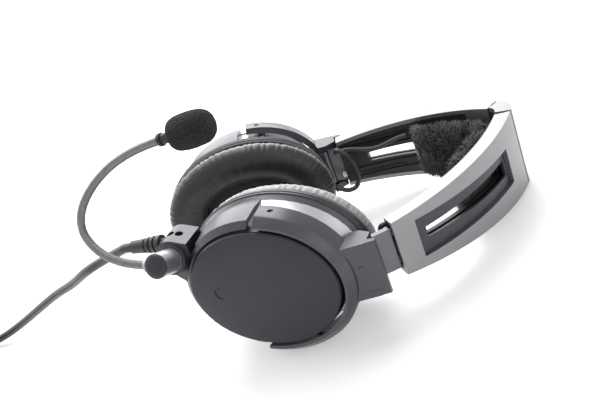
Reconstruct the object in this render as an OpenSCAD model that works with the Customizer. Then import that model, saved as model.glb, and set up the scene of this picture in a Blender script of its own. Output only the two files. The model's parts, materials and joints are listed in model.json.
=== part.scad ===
// Aviation headset with a folding sprung headband, C-yokes, a boom microphone and a twin-plug lead.
// Millimetres, +Z up. The headset lies on its rear edges: +X runs from the ears to the crown,
// -Y is the left cup, and the wearer's front faces up.

/* [Headband] */
// Outer radius of each side arm
arc_r = 118.7; // [112:0.1:126]
// Distance of the arm arcs' centres from the ear axis
arc_x = 43.5; // [38:0.5:50]
// Sideways distance of the arm arcs' centres from the middle
arc_y = 54.8; // [50:0.1:58]
// Angle of each arm's lower end, down from +X
arm_end = 80.7; // [76:0.1:84]
// Outer radius of the crown piece
crown_r = 16; // [14:0.5:20]
// Thickness of the band
band_t = 8.3; // [7.8:0.1:10]
// Half width of the band at the crown
crown_half_w = 20.8; // [19:0.1:24]
// Half width of the band at the arm ends
end_half_w = 13.9; // [13.2:0.1:15.5]
// Thickness of the silver shells
skin_t = 2.2; // [1.8:0.1:2.6]
// Widest opening of each arm from rest
arm_open = 17; // [10:1:17]

/* [Arm windows] */
// Angle of a window's lower end
window_end = 75.3; // [70:0.1:76]
// Angle between an arm's root block and its window
window_lead = 1.25; // [1:0.05:8]
// Half height of a window at its lower end
window_low_h = 9.8; // [8:0.1:10.5]
// Half height of a window at its upper end
window_high_h = 9.2; // [8:0.1:12]
// Half height of the open slot at its lower end
slot_low_h = 2.6; // [1.5:0.1:4]
// Half height of the open slot at its upper end
slot_high_h = 4.2; // [3:0.1:4.6]
// Number of detent teeth in each row
tooth_count = 12; // [4:1:14]
// Length of one detent tooth
tooth_l = 1.1; // [0.8:0.1:1.6]

/* [Crown hinges] */
// Radius of the two hinge pins
pin_r = 1.5; // [1.2:0.1:1.8]
// Outer radius of the hinge barrels
barrel_r = 2.8; // [2.5:0.1:2.9]
// Depth of the pin centres under the outer surface
pin_depth = 3.7; // [3.7:0.1:4]
// Half length of the crown's own hinge barrel
crown_barrel_h = 8.8; // [7:0.1:10]
// Length of each arm barrel
arm_barrel_l = 9.4; // [6:0.1:9.6]

/* [Sliders] */
// How far the left slider is pulled out
left_slide = 8.5; // [0:0.5:20]
// How far the right slider is pulled out
right_slide = 0; // [0:0.5:20]
// Full slider travel
slide_travel = 30; // [20:1:32]
// Half width of the slider's head
head_half_w = 10.4; // [9.8:0.1:10.6]
// Thickness of the slider's head
head_t = 3.1; // [2.6:0.1:3.1]
// Distance of the steel rails' middles from the band's centre line
rail_z = 7.3; // [6.9:0.1:7.6]
// Height of each steel rail
rail_h = 3.4; // [2.5:0.1:3.6]
// Thickness of each steel rail
rail_t = 1.4; // [1:0.1:1.4]

/* [Yokes] */
// Fold of the left yoke, away from straight
left_fold = 30.6; // [0:0.1:34]
// Fold of the right yoke, away from straight
right_fold = 0; // [0:0.1:34]
// Tilt of the left cup in its yoke
left_tilt = 0; // [-3:0.5:8]
// Tilt of the right cup in its yoke
right_tilt = 6; // [-3:0.5:8]
// Place of the fold pin along the cup
fold_x = 44.9; // [44.5:0.1:45.5]
// Depth of the fold pin behind the cap
fold_d = 16.1; // [15.5:0.1:16.5]
// Place of the tilt pins along the cup
tilt_x = 14; // [12:0.5:16]
// Depth of the tilt pins behind the cap
tilt_d = 9; // [8.5:0.1:10]
// Radius of the fold and tilt pins
axle_r = 1.3; // [1:0.1:1.5]
// Outer half length of the C-shaped band
yoke_a = 45; // [44.5:0.1:46]
// Outer half height of the C-shaped band
yoke_b = 37.8; // [37:0.1:39]
// Depth of the C-shaped band
yoke_d = 13.4; // [12:0.1:14]

/* [Ear cups] */
// Half length of the outer cap
cap_a = 38.2; // [37:0.1:39]
// Half height of the outer cap
cap_b = 30.9; // [30:0.1:31.4]
// Thickness of the outer cap
cap_t = 2.4; // [2:0.1:3]
// Depth of the housing's open edge
shell_d = 25.4; // [24:0.1:27]
// Half length of the flange
flange_a = 47.8; // [47:0.1:49]
// Half height of the flange
flange_b = 37; // [36.4:0.1:38]
// Thickness of the flange
flange_t = 4.4; // [3.6:0.1:5]
// Thickness of the ear cushion
cushion_t = 12.8; // [10:0.1:15]
// Half length of the cushion's opening
open_a = 26; // [24:0.1:28]
// Half height of the cushion's opening
open_b = 15.2; // [14:0.1:17]
// Radius of the loudspeaker
driver_r = 18; // [15:0.5:19]

/* [Boom] */
// Radius of the swivel knob
knob_r = 6; // [5:0.1:7]
// Length of the swivel knob
knob_l = 13.6; // [12:0.1:15]
// Lean of the swivel's axis towards the front
knob_lean = 22; // [15:1:28]
// Radius of the gooseneck over its ribs
neck_r = 2.15; // [1.8:0.05:2.6]
// Ribs along the gooseneck
neck_ribs = 80; // [40:1:90]
// Length of the foam windscreen
foam_l = 22; // [18:0.5:26]
// Radius of the foam windscreen
foam_r = 8.4; // [7:0.1:10]

/* [Lead] */
// Radius of the main lead
lead_r = 2.5; // [2.2:0.1:2.6]
// Radius of the thin lead across the headband
cross_r = 1.3; // [1:0.1:1.5]
// Radius of the two plug leads
tail_r = 1.9; // [1.5:0.1:2]
// Outer radius of the coil, at the middle of the lead
coil_out = 31; // [29:0.5:36]
// Turns in the coil
coil_turns = 7.25; // [5.25:1:7.25]
// Radius of the headphone plug
phone_plug_r = 3.175; // [3.1:0.005:3.25]
// Radius of the microphone plug
mic_plug_r = 2.615; // [2.55:0.005:2.7]
// Length of the plug pins
plug_l = 30; // [26:0.5:34]

/* [Hidden] */
$fn = 64;

silver = "#b9babd";
slate = "#4a4d52";
graphite = "#33353a";
black = "#1c1c1e";
steel = "#c8c8c4";

left = 0;
right = 1;
// Running clearance of a pin in its bore
run_gap = 0.06;
// Seating clearance between fixed pieces
seat_gap = 0.1;
// Clearance between pieces that move past each other
slide_gap = 0.3;
slides = [left_slide, right_slide];
folds = [left_fold, right_fold];
tilts = [left_tilt, right_tilt];

// ---- headband geometry ----
crown_cx = arc_x + sqrt(pow(arc_r - crown_r, 2) - pow(arc_y, 2));
seam = atan2(arc_y, crown_cx - arc_x);
crown_x = crown_cx + crown_r;
mid_r = arc_r - band_t / 2;
end_x = arc_x + arc_r * cos(arm_end);
seam_x = arc_x + arc_r * cos(seam);
tall = 60;
inner_r = arc_r - band_t;
pin_xy = [arc_x + (arc_r - pin_depth) * cos(seam), arc_y - (arc_r - pin_depth) * sin(seam)];
// The arm stops short of the seam, so that its outer edge clears the crown when it opens
arm_gap = pin_depth * tan(arm_open) + 0.17;
arm_start = seam + asin(arm_gap / arc_r);
root_end = seam + 8.2;
window_start = root_end + window_lead;
liner_t = 2.4;
insert_t = 1.6;
rib_h = 0.8;
collar_l = 2.1;

function per_mm(r) = 180 / (PI * r);
function half_w(x) = end_half_w + (crown_half_w - end_half_w) * (x - end_x) / (seam_x - end_x);
function arc_pt(r, a, z) = [arc_x + r * cos(a), arc_y - r * sin(a), z];

// ---- slider, yoke and cup placement, drawn for the left side and mirrored for the right ----
// The yoke block's side walls meet the arm's end when the slider is fully in
block_end = 52.8;
min_reach = block_end - fold_x + 0.6;
function reach(s) = min_reach + slides[s];
function slider_angle(s) = arm_end + reach(s) * per_mm(mid_r);
function fold_pt(s) = arc_pt(mid_r, slider_angle(s), 0);
function yoke_yaw(s) = 90 - slider_angle(s) - folds[s];
function cup_yaw(s) = yoke_yaw(s) + tilts[s];
function turn(p, a) = [p.x * cos(a) - p.y * sin(a), p.x * sin(a) + p.y * cos(a), p.z];
function yoke_pt(s, p) = fold_pt(s) + turn(p - [fold_x, fold_d, 0], yoke_yaw(s));
function cup_pt(s, p) = yoke_pt(s, [tilt_x, tilt_d, 0] + turn(p - [tilt_x, tilt_d, 0], tilts[s]));

// ---- resting pose: on the rear edges of a yoke's band and of the crown ----
rest_x = yoke_pt(right, [0, yoke_d / 2, 0]).x;
rest_tilt = atan2(yoke_b - crown_half_w, crown_x - rest_x);
rest_lift = norm([yoke_b * cos(rest_tilt), yoke_a * sin(rest_tilt)]) + rest_x * sin(rest_tilt);
origin_x = 38.9;
origin_y = 7.87;

module lie() translate([-origin_x, -origin_y, rest_lift]) rotate([0, rest_tilt, 0]) children();
function floor_pt(p) = [
    p.x * cos(rest_tilt) + p.z * sin(rest_tilt) - origin_x, p.y - origin_y,
    p.z * cos(rest_tilt) - p.x * sin(rest_tilt) + rest_lift
];
module side(s) lie() mirror([0, s, 0]) children();
module on_slider(s) side(s) translate(fold_pt(s)) rotate([0, 0, 90 - slider_angle(s)]) children();
module on_yoke(s)
    side(s) translate(fold_pt(s)) rotate([0, 0, yoke_yaw(s)]) translate([-fold_x, -fold_d, 0]) children();
module on_cup(s)
    on_yoke(s) translate([tilt_x, tilt_d, 0]) rotate([0, 0, tilts[s]])
    translate([-tilt_x, -tilt_d, 0]) children();

// ---- shared solids ----
function unit(v) = v / norm(v);
function flat(l) = [for (a = l) each a];
function tri_volume(p, f) = cross(p[f[0]], p[f[1]]) * p[f[2]];
function total(v, i = 0) = i == len(v) ? 0 : v[i] + total(v, i + 1);

// Solid through a list of equal rings of points; wrapped round, or closed with flat ends
module skin(rings, wrap = false) {
    m = len(rings[0]);
    n = len(rings);
    pts = flat(rings);
    sides = [
        for (i = [0 : n - (wrap ? 1 : 2)], k = [0 : m - 1])
            let (a = i * m + k, b = i * m + (k + 1) % m,
                 c = (i + 1) % n * m + k, d = (i + 1) % n * m + (k + 1) % m)
            each [[a, b, d], [a, d, c]]
    ];
    ends = wrap ? [] : [[for (k = [m - 1 : -1 : 0]) k], [for (k = [0 : m - 1]) (n - 1) * m + k]];
    caps = [for (e = ends, k = [1 : m - 2]) [e[0], e[k], e[k + 1]]];
    all = concat(sides, caps);
    volume = total([for (f = all) tri_volume(pts, f)]);
    polyhedron(pts, volume < 0 ? all : [for (f = all) [f[0], f[2], f[1]]]);
}

function oval(a, b, d, n) = [for (k = [0 : n - 1]) [a * cos(360 * k / n), d, b * sin(360 * k / n)]];
// Oval ring with a closed cross-section of [half length, half height, depth] points
module oval_ring(profile, n = 48) skin([for (p = profile) oval(p[0], p[1], p[2], n)], true);
module oval_stack(profile, n = 48) skin([for (p = profile) oval(p[0], p[1], p[2], n)]);
// Part of an oval ring between two angles, with flat ends
module oval_arc(profile, from, to, n = 30)
    skin([for (i = [0 : n]) let (t = from + (to - from) * i / n)
        [for (p = profile) [p[0] * cos(t), p[2], p[1] * sin(t)]]]);

module sector(r0, r1, from, to, h)
    translate([arc_x, arc_y, 0]) rotate([0, 0, -to]) rotate_extrude(angle = to - from, $fn = 180)
    translate([r0, -h / 2]) square([r1 - r0, h]);
// Prism that tapers with the band, between two half heights at the window's or arm's ends
module taper(x0, h0, x1, h1) {
    slope = (h1 - h0) / (x1 - x0);
    low = h0 - slope * x0;
    high = h0 + slope * (200 - x0);
    rotate([90, 0, 0]) translate([0, 0, -200])
    linear_extrude(400) polygon([[0, -low], [200, -high], [200, high], [0, low]]);
}
module band_taper(inset) taper(end_x, end_half_w - inset, seam_x, crown_half_w - inset);
window_x0 = arc_x + arc_r * cos(window_end);
window_x1 = arc_x + arc_r * cos(window_start);
module pin_rod(r, z0, z1) translate([pin_xy.x, pin_xy.y, z0]) cylinder(h = z1 - z0, r = r);
module both_ends() {
    children();
    mirror([0, 0, 1]) children();
}

// ---- swept tubes ----
function catmull(p, i, t) =
    let (a = p[max(i - 1, 0)], b = p[i], c = p[i + 1], d = p[min(i + 2, len(p) - 1)])
    0.5 * (2 * b + (c - a) * t + (2 * a - 5 * b + 4 * c - d) * t * t + (3 * b - a - 3 * c + d) * t * t * t);
function spline(p, steps) = concat(
    [for (i = [0 : len(p) - 2], k = [0 : steps - 1]) catmull(p, i, k / steps)], [p[len(p) - 1]]);
function heading(p, i) = unit(p[min(i + 1, len(p) - 1)] - p[max(i - 1, 0)]);
function section(p, i, r, n, up) =
    let (t = heading(p, i), u = unit(cross(t, up)), v = cross(u, t))
    [for (k = [0 : n - 1]) p[i] + r * (cos(360 * k / n) * u + sin(360 * k / n) * v)];
module tube(p, r, n = 8, up = [0, 0, 1]) skin([for (i = [0 : len(p) - 1]) section(p, i, r, n, up)]);

// ---- crown ----
pocket_r = barrel_r + slide_gap;
pocket_h = crown_half_w - skin_t + 0.3;
panel_h = 12;
panel_a = seam * 0.66;
module crown_sector(r0, r1, a, h)
    translate([crown_cx, 0, 0]) rotate([0, 0, -a]) rotate_extrude(angle = 2 * a)
    translate([r0, -h / 2]) square([r1 - r0, h]);
module both_pins() for (m = [0, 1]) mirror([0, m, 0]) children();

module crown_cover() {
    color(silver) lie() difference() {
        crown_sector(crown_r - band_t, crown_r, seam, 2 * crown_half_w);
        crown_sector(crown_r - band_t - 1, crown_r - skin_t, seam + 5, 2 * (crown_half_w - skin_t));
        crown_sector(crown_r - 0.5, crown_r + 1, panel_a, 2 * panel_h);
        both_pins() pin_rod(pocket_r + 0.1, -pocket_h, pocket_h);
    }
}
module crown_frame() {
    inner_h = crown_half_w - skin_t - seat_gap;
    color(black) lie() difference() {
        union() {
            difference() {
                crown_sector(crown_r - band_t, crown_r - skin_t - seat_gap, seam - 1, 2 * inner_h);
                both_pins() pin_rod(pocket_r, -inner_h - 1, inner_h + 1);
            }
            both_pins() both_ends() difference() {
                union() {
                    pin_rod(barrel_r, crown_barrel_h - 3, crown_barrel_h);
                    crown_web();
                }
            }
        }
        both_pins() pin_rod(pin_r + 0.02, -tall, tall);
    }
}
// Web that ties the crown's hinge barrel to its block
module crown_web() {
    ang = seam - 14;
    inner = [crown_cx + (crown_r - 6) * cos(ang), -(crown_r - 6) * sin(ang)];
    translate([0, 0, crown_barrel_h - 3]) linear_extrude(3) polygon([
        pin_xy + [0.5, 2.5], pin_xy + [-2.5, 0.4], inner + [-2.4, 0], inner + [0.8, 1.6]
    ]);
}
module hinge_pins() {
    color(steel) lie() both_pins() pin_rod(pin_r, -crown_barrel_h - arm_barrel_l, crown_barrel_h + arm_barrel_l);
}
module torsion_springs() {
    spring_h = crown_barrel_h - 3.4;
    color(steel) lie() both_pins() difference() {
        pin_rod(barrel_r - 0.5, -spring_h, spring_h);
        pin_rod(pin_r + 0.25, -tall, tall);
    }
}

// ---- sheepskin head pad ----
pad_t = 16;
pad_h = 15.5;
pad_end = 58;
pad_back = inner_r - rib_h - 0.6;
function pad_station(u) =
    abs(u) < 0.01 ? [[crown_cx + crown_r - band_t - 0.3, 0, 0], [-1, 0, 0]]
    : let (a = seam + 6 + (pad_end - seam - 6) * (abs(u) - 0.25) / 0.75, p = arc_pt(pad_back, a, 0),
           n = [-cos(a), sin(a), 0])
      u < 0 ? [p, n] : [[p.x, -p.y, 0], [n.x, -n.y, 0]];
function pad_swell(u) = pow(max(1 - pow(abs(u), 4), 0), 0.5);
function pad_ring(u, n) =
    let (s = pad_station(u), k = 0.18 + 0.82 * pad_swell(u))
    [for (i = [0 : n - 1]) let (a = 360 * i / n, w = pow(abs(sin(a)), 0.8) * sign(sin(a)))
        s[0] + s[1] * (pad_t * k * (1 - cos(a)) / 2) + [0, 0, pad_h * (0.75 + 0.25 * k) * w]];
module head_pad() {
    stations = [-1, -0.95, -0.85, -0.7, -0.55, -0.4, -0.25, 0, 0.25, 0.4, 0.55, 0.7, 0.85, 0.95, 1];
    color(black) lie() skin([for (u = stations) pad_ring(u, 16)]);
}

// ---- side arms ----
module arm_frame(s) {
    color(silver) side(s) difference() {
        union() {
            difference() {
                intersection() {
                    sector(inner_r, arc_r, arm_start, arm_end, tall);
                    band_taper(0);
                }
                intersection() {
                    sector(inner_r - 1, arc_r - skin_t, root_end, arm_end + 1, tall);
                    band_taper(skin_t);
                }
                pin_rod(pocket_r, -crown_barrel_h - 0.2, crown_barrel_h + 0.2);
            }
            both_ends() pin_rod(barrel_r, crown_barrel_h + 0.2, crown_barrel_h + arm_barrel_l);
        }
        pin_rod(pin_r + run_gap, -tall, tall);
        intersection() {
            sector(arc_r - skin_t - 1, arc_r + 1, window_start, window_end, tall);
            taper(window_x0, window_low_h, window_x1, window_high_h);
        }
    }
}
module slot_cut(r0, r1) intersection() {
    sector(r0, r1, window_start + 1.2, window_end - 2.6, tall);
    taper(window_x0, slot_low_h, window_x1, slot_high_h);
}
module window_frame(s) {
    outer = arc_r - skin_t - seat_gap;
    lap = 1.5;
    color(graphite) side(s) difference() {
        intersection() {
            sector(outer - insert_t, outer, window_start - 0.5, window_end + 0.7, tall);
            taper(window_x0, window_low_h + lap, window_x1, window_high_h + lap);
        }
        slot_cut(outer - insert_t - 1, outer + 1);
    }
}
liner_out = inner_r + liner_t;
module arm_liner(s) {
    inset = skin_t + seat_gap;
    collar_end = arm_end - 0.1;
    color(black) side(s) difference() {
        union() {
            intersection() {
                sector(inner_r, liner_out, root_end + 0.2, collar_end, tall);
                band_taper(inset);
            }
            for (m = [0, 1]) mirror([0, 0, m]) liner_ribs(inset);
            intersection() {
                sector(inner_r - rib_h, liner_out, collar_end - collar_l, collar_end, tall);
                band_taper(inset);
            }
        }
        slot_cut(inner_r - 2, liner_out + 1);
    }
}
// Guide ribs and detent teeth on the inner face of an arm
module liner_ribs(inset) {
    rib_w = 0.8;
    row_z = head_half_w - 1.9;
    pitch = 2 * tooth_l * per_mm(inner_r);
    for (z = [slot_high_h + 1.2, row_z + tooth_l + 0.7])
        translate([0, 0, z]) sector(inner_r - rib_h, inner_r + 0.2, root_end + 14, arm_end - 3, rib_w);
    for (i = [0 : tooth_count - 1])
        translate([0, 0, row_z])
        sector(inner_r - rib_h, inner_r + 0.2, arm_end - 5 - i * pitch - pitch / 2, arm_end - 5 - i * pitch, tooth_l);
}
screw_r = 1.5;
module arm_screws(s) {
    color(steel) side(s) both_ends()
        translate([arc_x, arc_y, 0]) for (a = [root_end + 2.2, root_end + 9]) rotate([0, 0, -a])
        translate([inner_r - 0.9, 0, slot_high_h + 5]) rotate([0, 90, 0]) cylinder(h = 0.85, r = screw_r);
}
arm_lead_r = inner_r - rib_h - cross_r - 0.15;
arm_lead_z = 9.2;
arm_lead_from = 59.5;
arm_lead_end = arm_end - 0.6;
module arm_lead(s) {
    span = arm_lead_end - arm_lead_from;
    route = [for (t = [0 : 0.125 : 1]) let (bow = pow(sin(180 * t), 2))
        arc_pt(arm_lead_r - 2 * bow, arm_lead_from + t * span, arm_lead_z - 3 * bow)];
    color(graphite) side(s) tube(spline(route, 2), cross_r);
}

// ---- sliders ----
rail_out = liner_out + slide_gap + rail_t;
head_out = arc_r - skin_t - slide_gap;
head_barrel_r = axle_r + 1.5;
module slider_rails(s) {
    near = slider_angle(s) - 6.2 * per_mm(mid_r);
    far = slider_angle(s) - (min_reach + slide_travel + 7) * per_mm(mid_r);
    color(steel) side(s) both_ends() translate([0, 0, rail_z])
        sector(rail_out - rail_t, rail_out, far, near, rail_h);
}
module slider_head(s) {
    head_l = min_reach + 7.8;
    start = slider_angle(s);
    stop = slider_angle(s) - head_l * per_mm(mid_r);
    barrel_h = head_half_w - 0.4;
    color(slate) side(s) difference() {
        union() {
            sector(head_out - head_t, head_out, stop, start, 2 * head_half_w);
            translate(fold_pt(s)) translate([0, 0, -barrel_h]) cylinder(h = 2 * barrel_h, r = head_barrel_r);
        }
        translate(fold_pt(s)) translate([0, 0, -tall / 2]) cylinder(h = tall, r = axle_r + run_gap);
        both_ends() translate([0, 0, rail_z])
            sector(rail_out - rail_t - 3, rail_out + seat_gap, stop - 1, slider_angle(s) - 5.8 * per_mm(mid_r), rail_h + 2 * seat_gap);
    }
}

// ---- yokes ----
block_half_w = end_half_w + 0.1;
block_top = [yoke_a - 4.2, 4.2];
ear_in = head_half_w + slide_gap;
yoke_from = 80;
yoke_to = -103;
module yoke(s) {
    band = [
        [yoke_a - 4.9, yoke_b - 5.3, 0.5], [yoke_a - 3.4, yoke_b - 3.8, 0.1], [yoke_a - 0.5, yoke_b - 0.5, 3.6],
        [yoke_a, yoke_b, 4.8], [yoke_a, yoke_b, yoke_d], [yoke_a - 3.6, yoke_b - 3.6, yoke_d],
        [yoke_a - 4.2, yoke_b - 4.2, 5]
    ];
    color(slate) on_yoke(s) difference() {
        union() {
            oval_arc(band, yoke_to, yoke_from);
            yoke_block();
            if (s == left) translate([block_top.x + 7, block_top.y + 2.9, 2]) rotate([90, 0, 18]) cylinder(h = 0.9, r = 1.1);
        }
        for (z = [-1, 1]) translate([tilt_x, tilt_d, z * (yoke_b - 3)]) cylinder(h = 14, r = axle_r + 0.02, center = true);
        translate([fold_x, fold_d, -tall / 2]) cylinder(h = tall, r = axle_r + 0.02);
        translate([fold_x, fold_d, -ear_in]) cylinder(h = 2 * ear_in, r = head_barrel_r + slide_gap);
    }
}
// Block that carries the fold pin: an outer plate over the slider and two side walls
module yoke_block() {
    side_outline = [
        [yoke_a - 4.2, 4.2], [block_end, 8], [block_end, 17.5], [fold_x + 2, 20.2],
        [fold_x - 2.4, 19.2], [yoke_a - 3.6, yoke_d], [yoke_a - 4.2, 9]
    ];
    plate_outline = [
        [yoke_a - 4.2, 4.2], [block_end + 4.2, 9.7], [block_end + 4.2, 11.5], [fold_x + 2.2, 11.5],
        [fold_x - 3.1, yoke_d], [yoke_a - 4.2, yoke_d]
    ];
    translate([0, 0, -block_half_w]) linear_extrude(2 * block_half_w) polygon(plate_outline);
    both_ends() translate([0, 0, ear_in]) linear_extrude(block_half_w - ear_in) polygon(side_outline);
}
module fold_pin(s) {
    color(steel) on_yoke(s) translate([fold_x, fold_d, -block_half_w]) cylinder(h = 2 * block_half_w, r = axle_r);
}
module tilt_pins(s) {
    inner_end = cap_b - 4.4;
    outer_end = yoke_b * sqrt(1 - pow(tilt_x / yoke_a, 2)) - 0.6;
    color(steel) on_yoke(s) both_ends() translate([tilt_x, tilt_d, inner_end])
        cylinder(h = outer_end - inner_end, r = axle_r);
}

// ---- ear cups ----
shell_t = 2;
module housing(s) {
    outer = [
        [cap_a - 0.2, cap_b - 0.2, cap_t - 0.1], [cap_a + 0.9, cap_b + 0.5, 5], [cap_a + 1.2, cap_b + 0.9, yoke_d],
        [cap_a + 2.2, cap_b + 2.1, yoke_d + 4.4], [flange_a - 3.4, flange_b - 2.4, shell_d - 3],
        [flange_a - 1.2, flange_b - 0.7, shell_d]
    ];
    inner = [for (i = [5 : -1 : 0]) outer[i] - [shell_t, shell_t, i == 5 || i == 0 ? 0 : 0.6]];
    rim = [
        [cap_a - 1, cap_b - 1, cap_t + 0.8], [cap_a + 1.4, cap_b + 1.2, 2.2], [cap_a + 4.6, cap_b + 4.2, 5.2],
        [cap_a + 6.2, cap_b + 5, yoke_d + 2], [flange_a - 2.6, flange_b - 1.8, shell_d - 1.5],
        [cap_a, cap_b, yoke_d + 3]
    ];
    color(silver) on_cup(s) difference() {
        union() {
            oval_ring(concat(outer, inner));
            oval_arc(rim, yoke_from + 6, 360 + yoke_to - 6);
            both_ends() translate([tilt_x, tilt_d, cap_b - 5.4]) cylinder(h = 4, r = axle_r + 1.9);
        }
        translate([tilt_x, tilt_d, -tall]) cylinder(h = 2 * tall, r = axle_r + run_gap);
        if (s == left) lug_socket();
    }
}
module cap(s) {
    color(graphite) on_cup(s) difference() {
        oval_stack([
            [cap_a - 2.6, cap_b - 2.6, cap_t - 0.2], [cap_a - 0.3, cap_b - 0.3, cap_t - 0.7], [cap_a, cap_b, 0.9],
            [cap_a - 0.5, cap_b - 0.5, 0.2], [cap_a - 1.6, cap_b - 1.6, -0.1], [cap_a * 0.66, cap_b * 0.66, -0.7],
            [cap_a * 0.3, cap_b * 0.3, -1]
        ]);
        translate([-0.58 * cap_a, -1.5, 1.4]) rotate([-90, 0, 0]) difference() {
            cylinder(h = 1.2, r = 3.2);
            translate([1.1, 0, -1]) cylinder(h = 4, r = 3);
        }
    }
}
module flange(s) {
    d0 = shell_d + seat_gap;
    d1 = shell_d + flange_t;
    color(graphite) on_cup(s) oval_ring([
        [flange_a - 0.9, flange_b - 0.9, d0], [flange_a - 0.1, flange_b - 0.1, d0 + 0.8],
        [flange_a, flange_b, d0 + 1.6], [flange_a - 0.7, flange_b - 0.7, d0 + 2.1],
        [flange_a, flange_b, d0 + 2.7], [flange_a - 0.2, flange_b - 0.2, d1 - 0.5],
        [flange_a - 1.2, flange_b - 1.2, d1], [open_a + 1.6, open_b + 1.6, d1], [open_a + 1.6, open_b + 1.6, d1 - 1.8],
        [flange_a - 6.6, flange_b - 6.6, d1 - 1.8], [flange_a - 6.6, flange_b - 6.6, d0]
    ]);
}
module baffle(s) {
    d1 = shell_d + flange_t - 1.8 - seat_gap;
    a = flange_a - 7;
    b = flange_b - 7;
    color(black) on_cup(s) difference() {
        oval_stack([[a, b, d1 - 1.6], [a, b, d1]], 40);
        for (x = [-12 : 8 : 12], z = [-8, 0, 8]) translate([x, d1 - 3, z]) rotate([-90, 0, 0])
            cylinder(h = 5, r = 1.8, $fn = 24);
    }
}
module driver(s) {
    d1 = shell_d + flange_t - 3.6 - seat_gap;
    color(slate) on_cup(s) translate([0, d1, 0]) rotate([90, 0, 0]) rotate_extrude() polygon([
        [0, 0], [driver_r, 0], [driver_r, 2.4], [driver_r - 3, 3.4], [driver_r * 0.6, 6],
        [driver_r * 0.55, 8.8], [0, 8.8]
    ]);
}
module board(s) {
    color("#2d5a3a") on_cup(s) union() {
        translate([-20, 8.6, -13]) cube([40, 1.6, 26]);
        translate([-12, 6.4, -6]) cube([10, 2.3, 9]);
        translate([4, 7.2, 0]) cube([7, 1.5, 6]);
        for (x = [-17, 17], z = [-10, 10]) translate([x, cap_t + 0.1, z]) rotate([-90, 0, 0])
            cylinder(h = 8.6 - cap_t, r = 1.4);
    }
}
module scrim(s) {
    d1 = shell_d + flange_t;
    color(black) on_cup(s) oval_stack([[open_a + 1.2, open_b + 1.2, d1 - 1.7], [open_a + 1.2, open_b + 1.2, d1 - 0.4],
        [open_a - 6, open_b - 5, d1 + 0.4]], 40);
}
module cushion(s) {
    d0 = shell_d + flange_t + seat_gap;
    t = cushion_t;
    wide_a = (flange_a - open_a) / 22;
    wide_b = (flange_b - 1.2 - open_b) / 22;
    // Distance inwards from the flange's edge, and height, round the crowned section
    outline = [
        [2.6, 0], [0.6, 0.12], [-0.6, 0.33], [0.5, 0.62], [4, 0.88], [9.5, 1], [15.5, 0.95], [20.2, 0.74],
        [22, 0.46], [21, 0.2], [18, 0]
    ];
    color(black) on_cup(s) oval_ring([for (p = outline)
        [flange_a - p[0] * wide_a, flange_b - 1.2 - p[0] * wide_b, d0 + p[1] * t]], 56);
}

// ---- thin lead between each arm and its cup ----
module lead_loop(s) {
    sag = s == left ? [[58.8, -50.3, 6], [58.6, -50.6, -1], [57, -51.3, -7.5]] : [
        [59.3, -49.6, 11], [60.5, -46.5, 12], [64, -45, 8], [66.3, -44.5, 1], [66.5, -44, -6],
        [63.5, -43.5, -11], [58.5, -43.7, -11.5]
    ];
    entry = [flange_a * sqrt(1 - pow(9 / flange_b, 2)), shell_d + 2.2, -9];
    start = [for (a = [arm_lead_end + 0.25, arm_lead_end + 1.4]) arc_pt(arm_lead_r, a, arm_lead_z)];
    route = concat(start, sag, [cup_pt(s, entry + [2.8, 0, 0]), cup_pt(s, entry + [0.5, 0, 0])]);
    color(graphite) side(s) tube(spline(route, 3), cross_r, 8, [0.3, 0.9, 0.2]);
}

// ---- boom ----
knob_at = [-42, 2, 21];
swivel_r = 3;
boss_r = knob_r + 1.2;
module on_knob() on_cup(left) translate(knob_at) rotate([90 - knob_lean, 0, 0]) children();
// Prism over two circles and their common tangents
module web(p, r, q, t, d0, d1) {
    v = q - p;
    l = norm(v);
    base = atan2(v.y, v.x);
    off = acos((r - t) / l);
    translate([0, d1, 0]) rotate([90, 0, 0]) linear_extrude(d1 - d0) {
        translate(p) circle(r);
        translate(q) circle(t);
        polygon([
            p + r * [cos(base + off), sin(base + off)], q + t * [cos(base + off), sin(base + off)],
            q + t * [cos(base - off), sin(base - off)], p + r * [cos(base - off), sin(base - off)]
        ]);
    }
}
lug_d0 = 4.5;
lug_d1 = 20;
module lug_body(grow) {
    web([-43, 21], 9 + grow, [-28, 12], 13 + grow, lug_d0 - grow, lug_d1 + grow);
}
// Space that the lug takes out of the left housing
module lug_socket() lug_body(seat_gap);
module boom_lug() {
    color(slate) union() {
        on_cup(left) difference() {
            intersection() {
                lug_body(0);
                translate([-95, 0, -30]) cube([62, 40, 80]);
            }
            oval_stack([[cap_a + 0.6, cap_b + 0.6, -2], [cap_a + 1, cap_b + 1, yoke_d], [cap_a + 2.4, cap_b + 2.3, lug_d1 + 2]]);
            translate([-42, 12, 26]) rotate([0, 0, 90]) web_slot();
            translate([-60, relief_at.y, relief_at.z]) rotate([0, 90, 0]) cylinder(h = 14, r = 2.8);
            translate(knob_at) rotate([90 - knob_lean, 0, 0]) translate([0, 0, -8]) cylinder(h = 30, r = swivel_r + run_gap);
        }
        on_knob() difference() {
            translate([0, 0, -5]) cylinder(h = 5.4, r = boss_r);
            translate([0, 0, -8]) cylinder(h = 30, r = swivel_r + run_gap);
        }
    }
}
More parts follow.
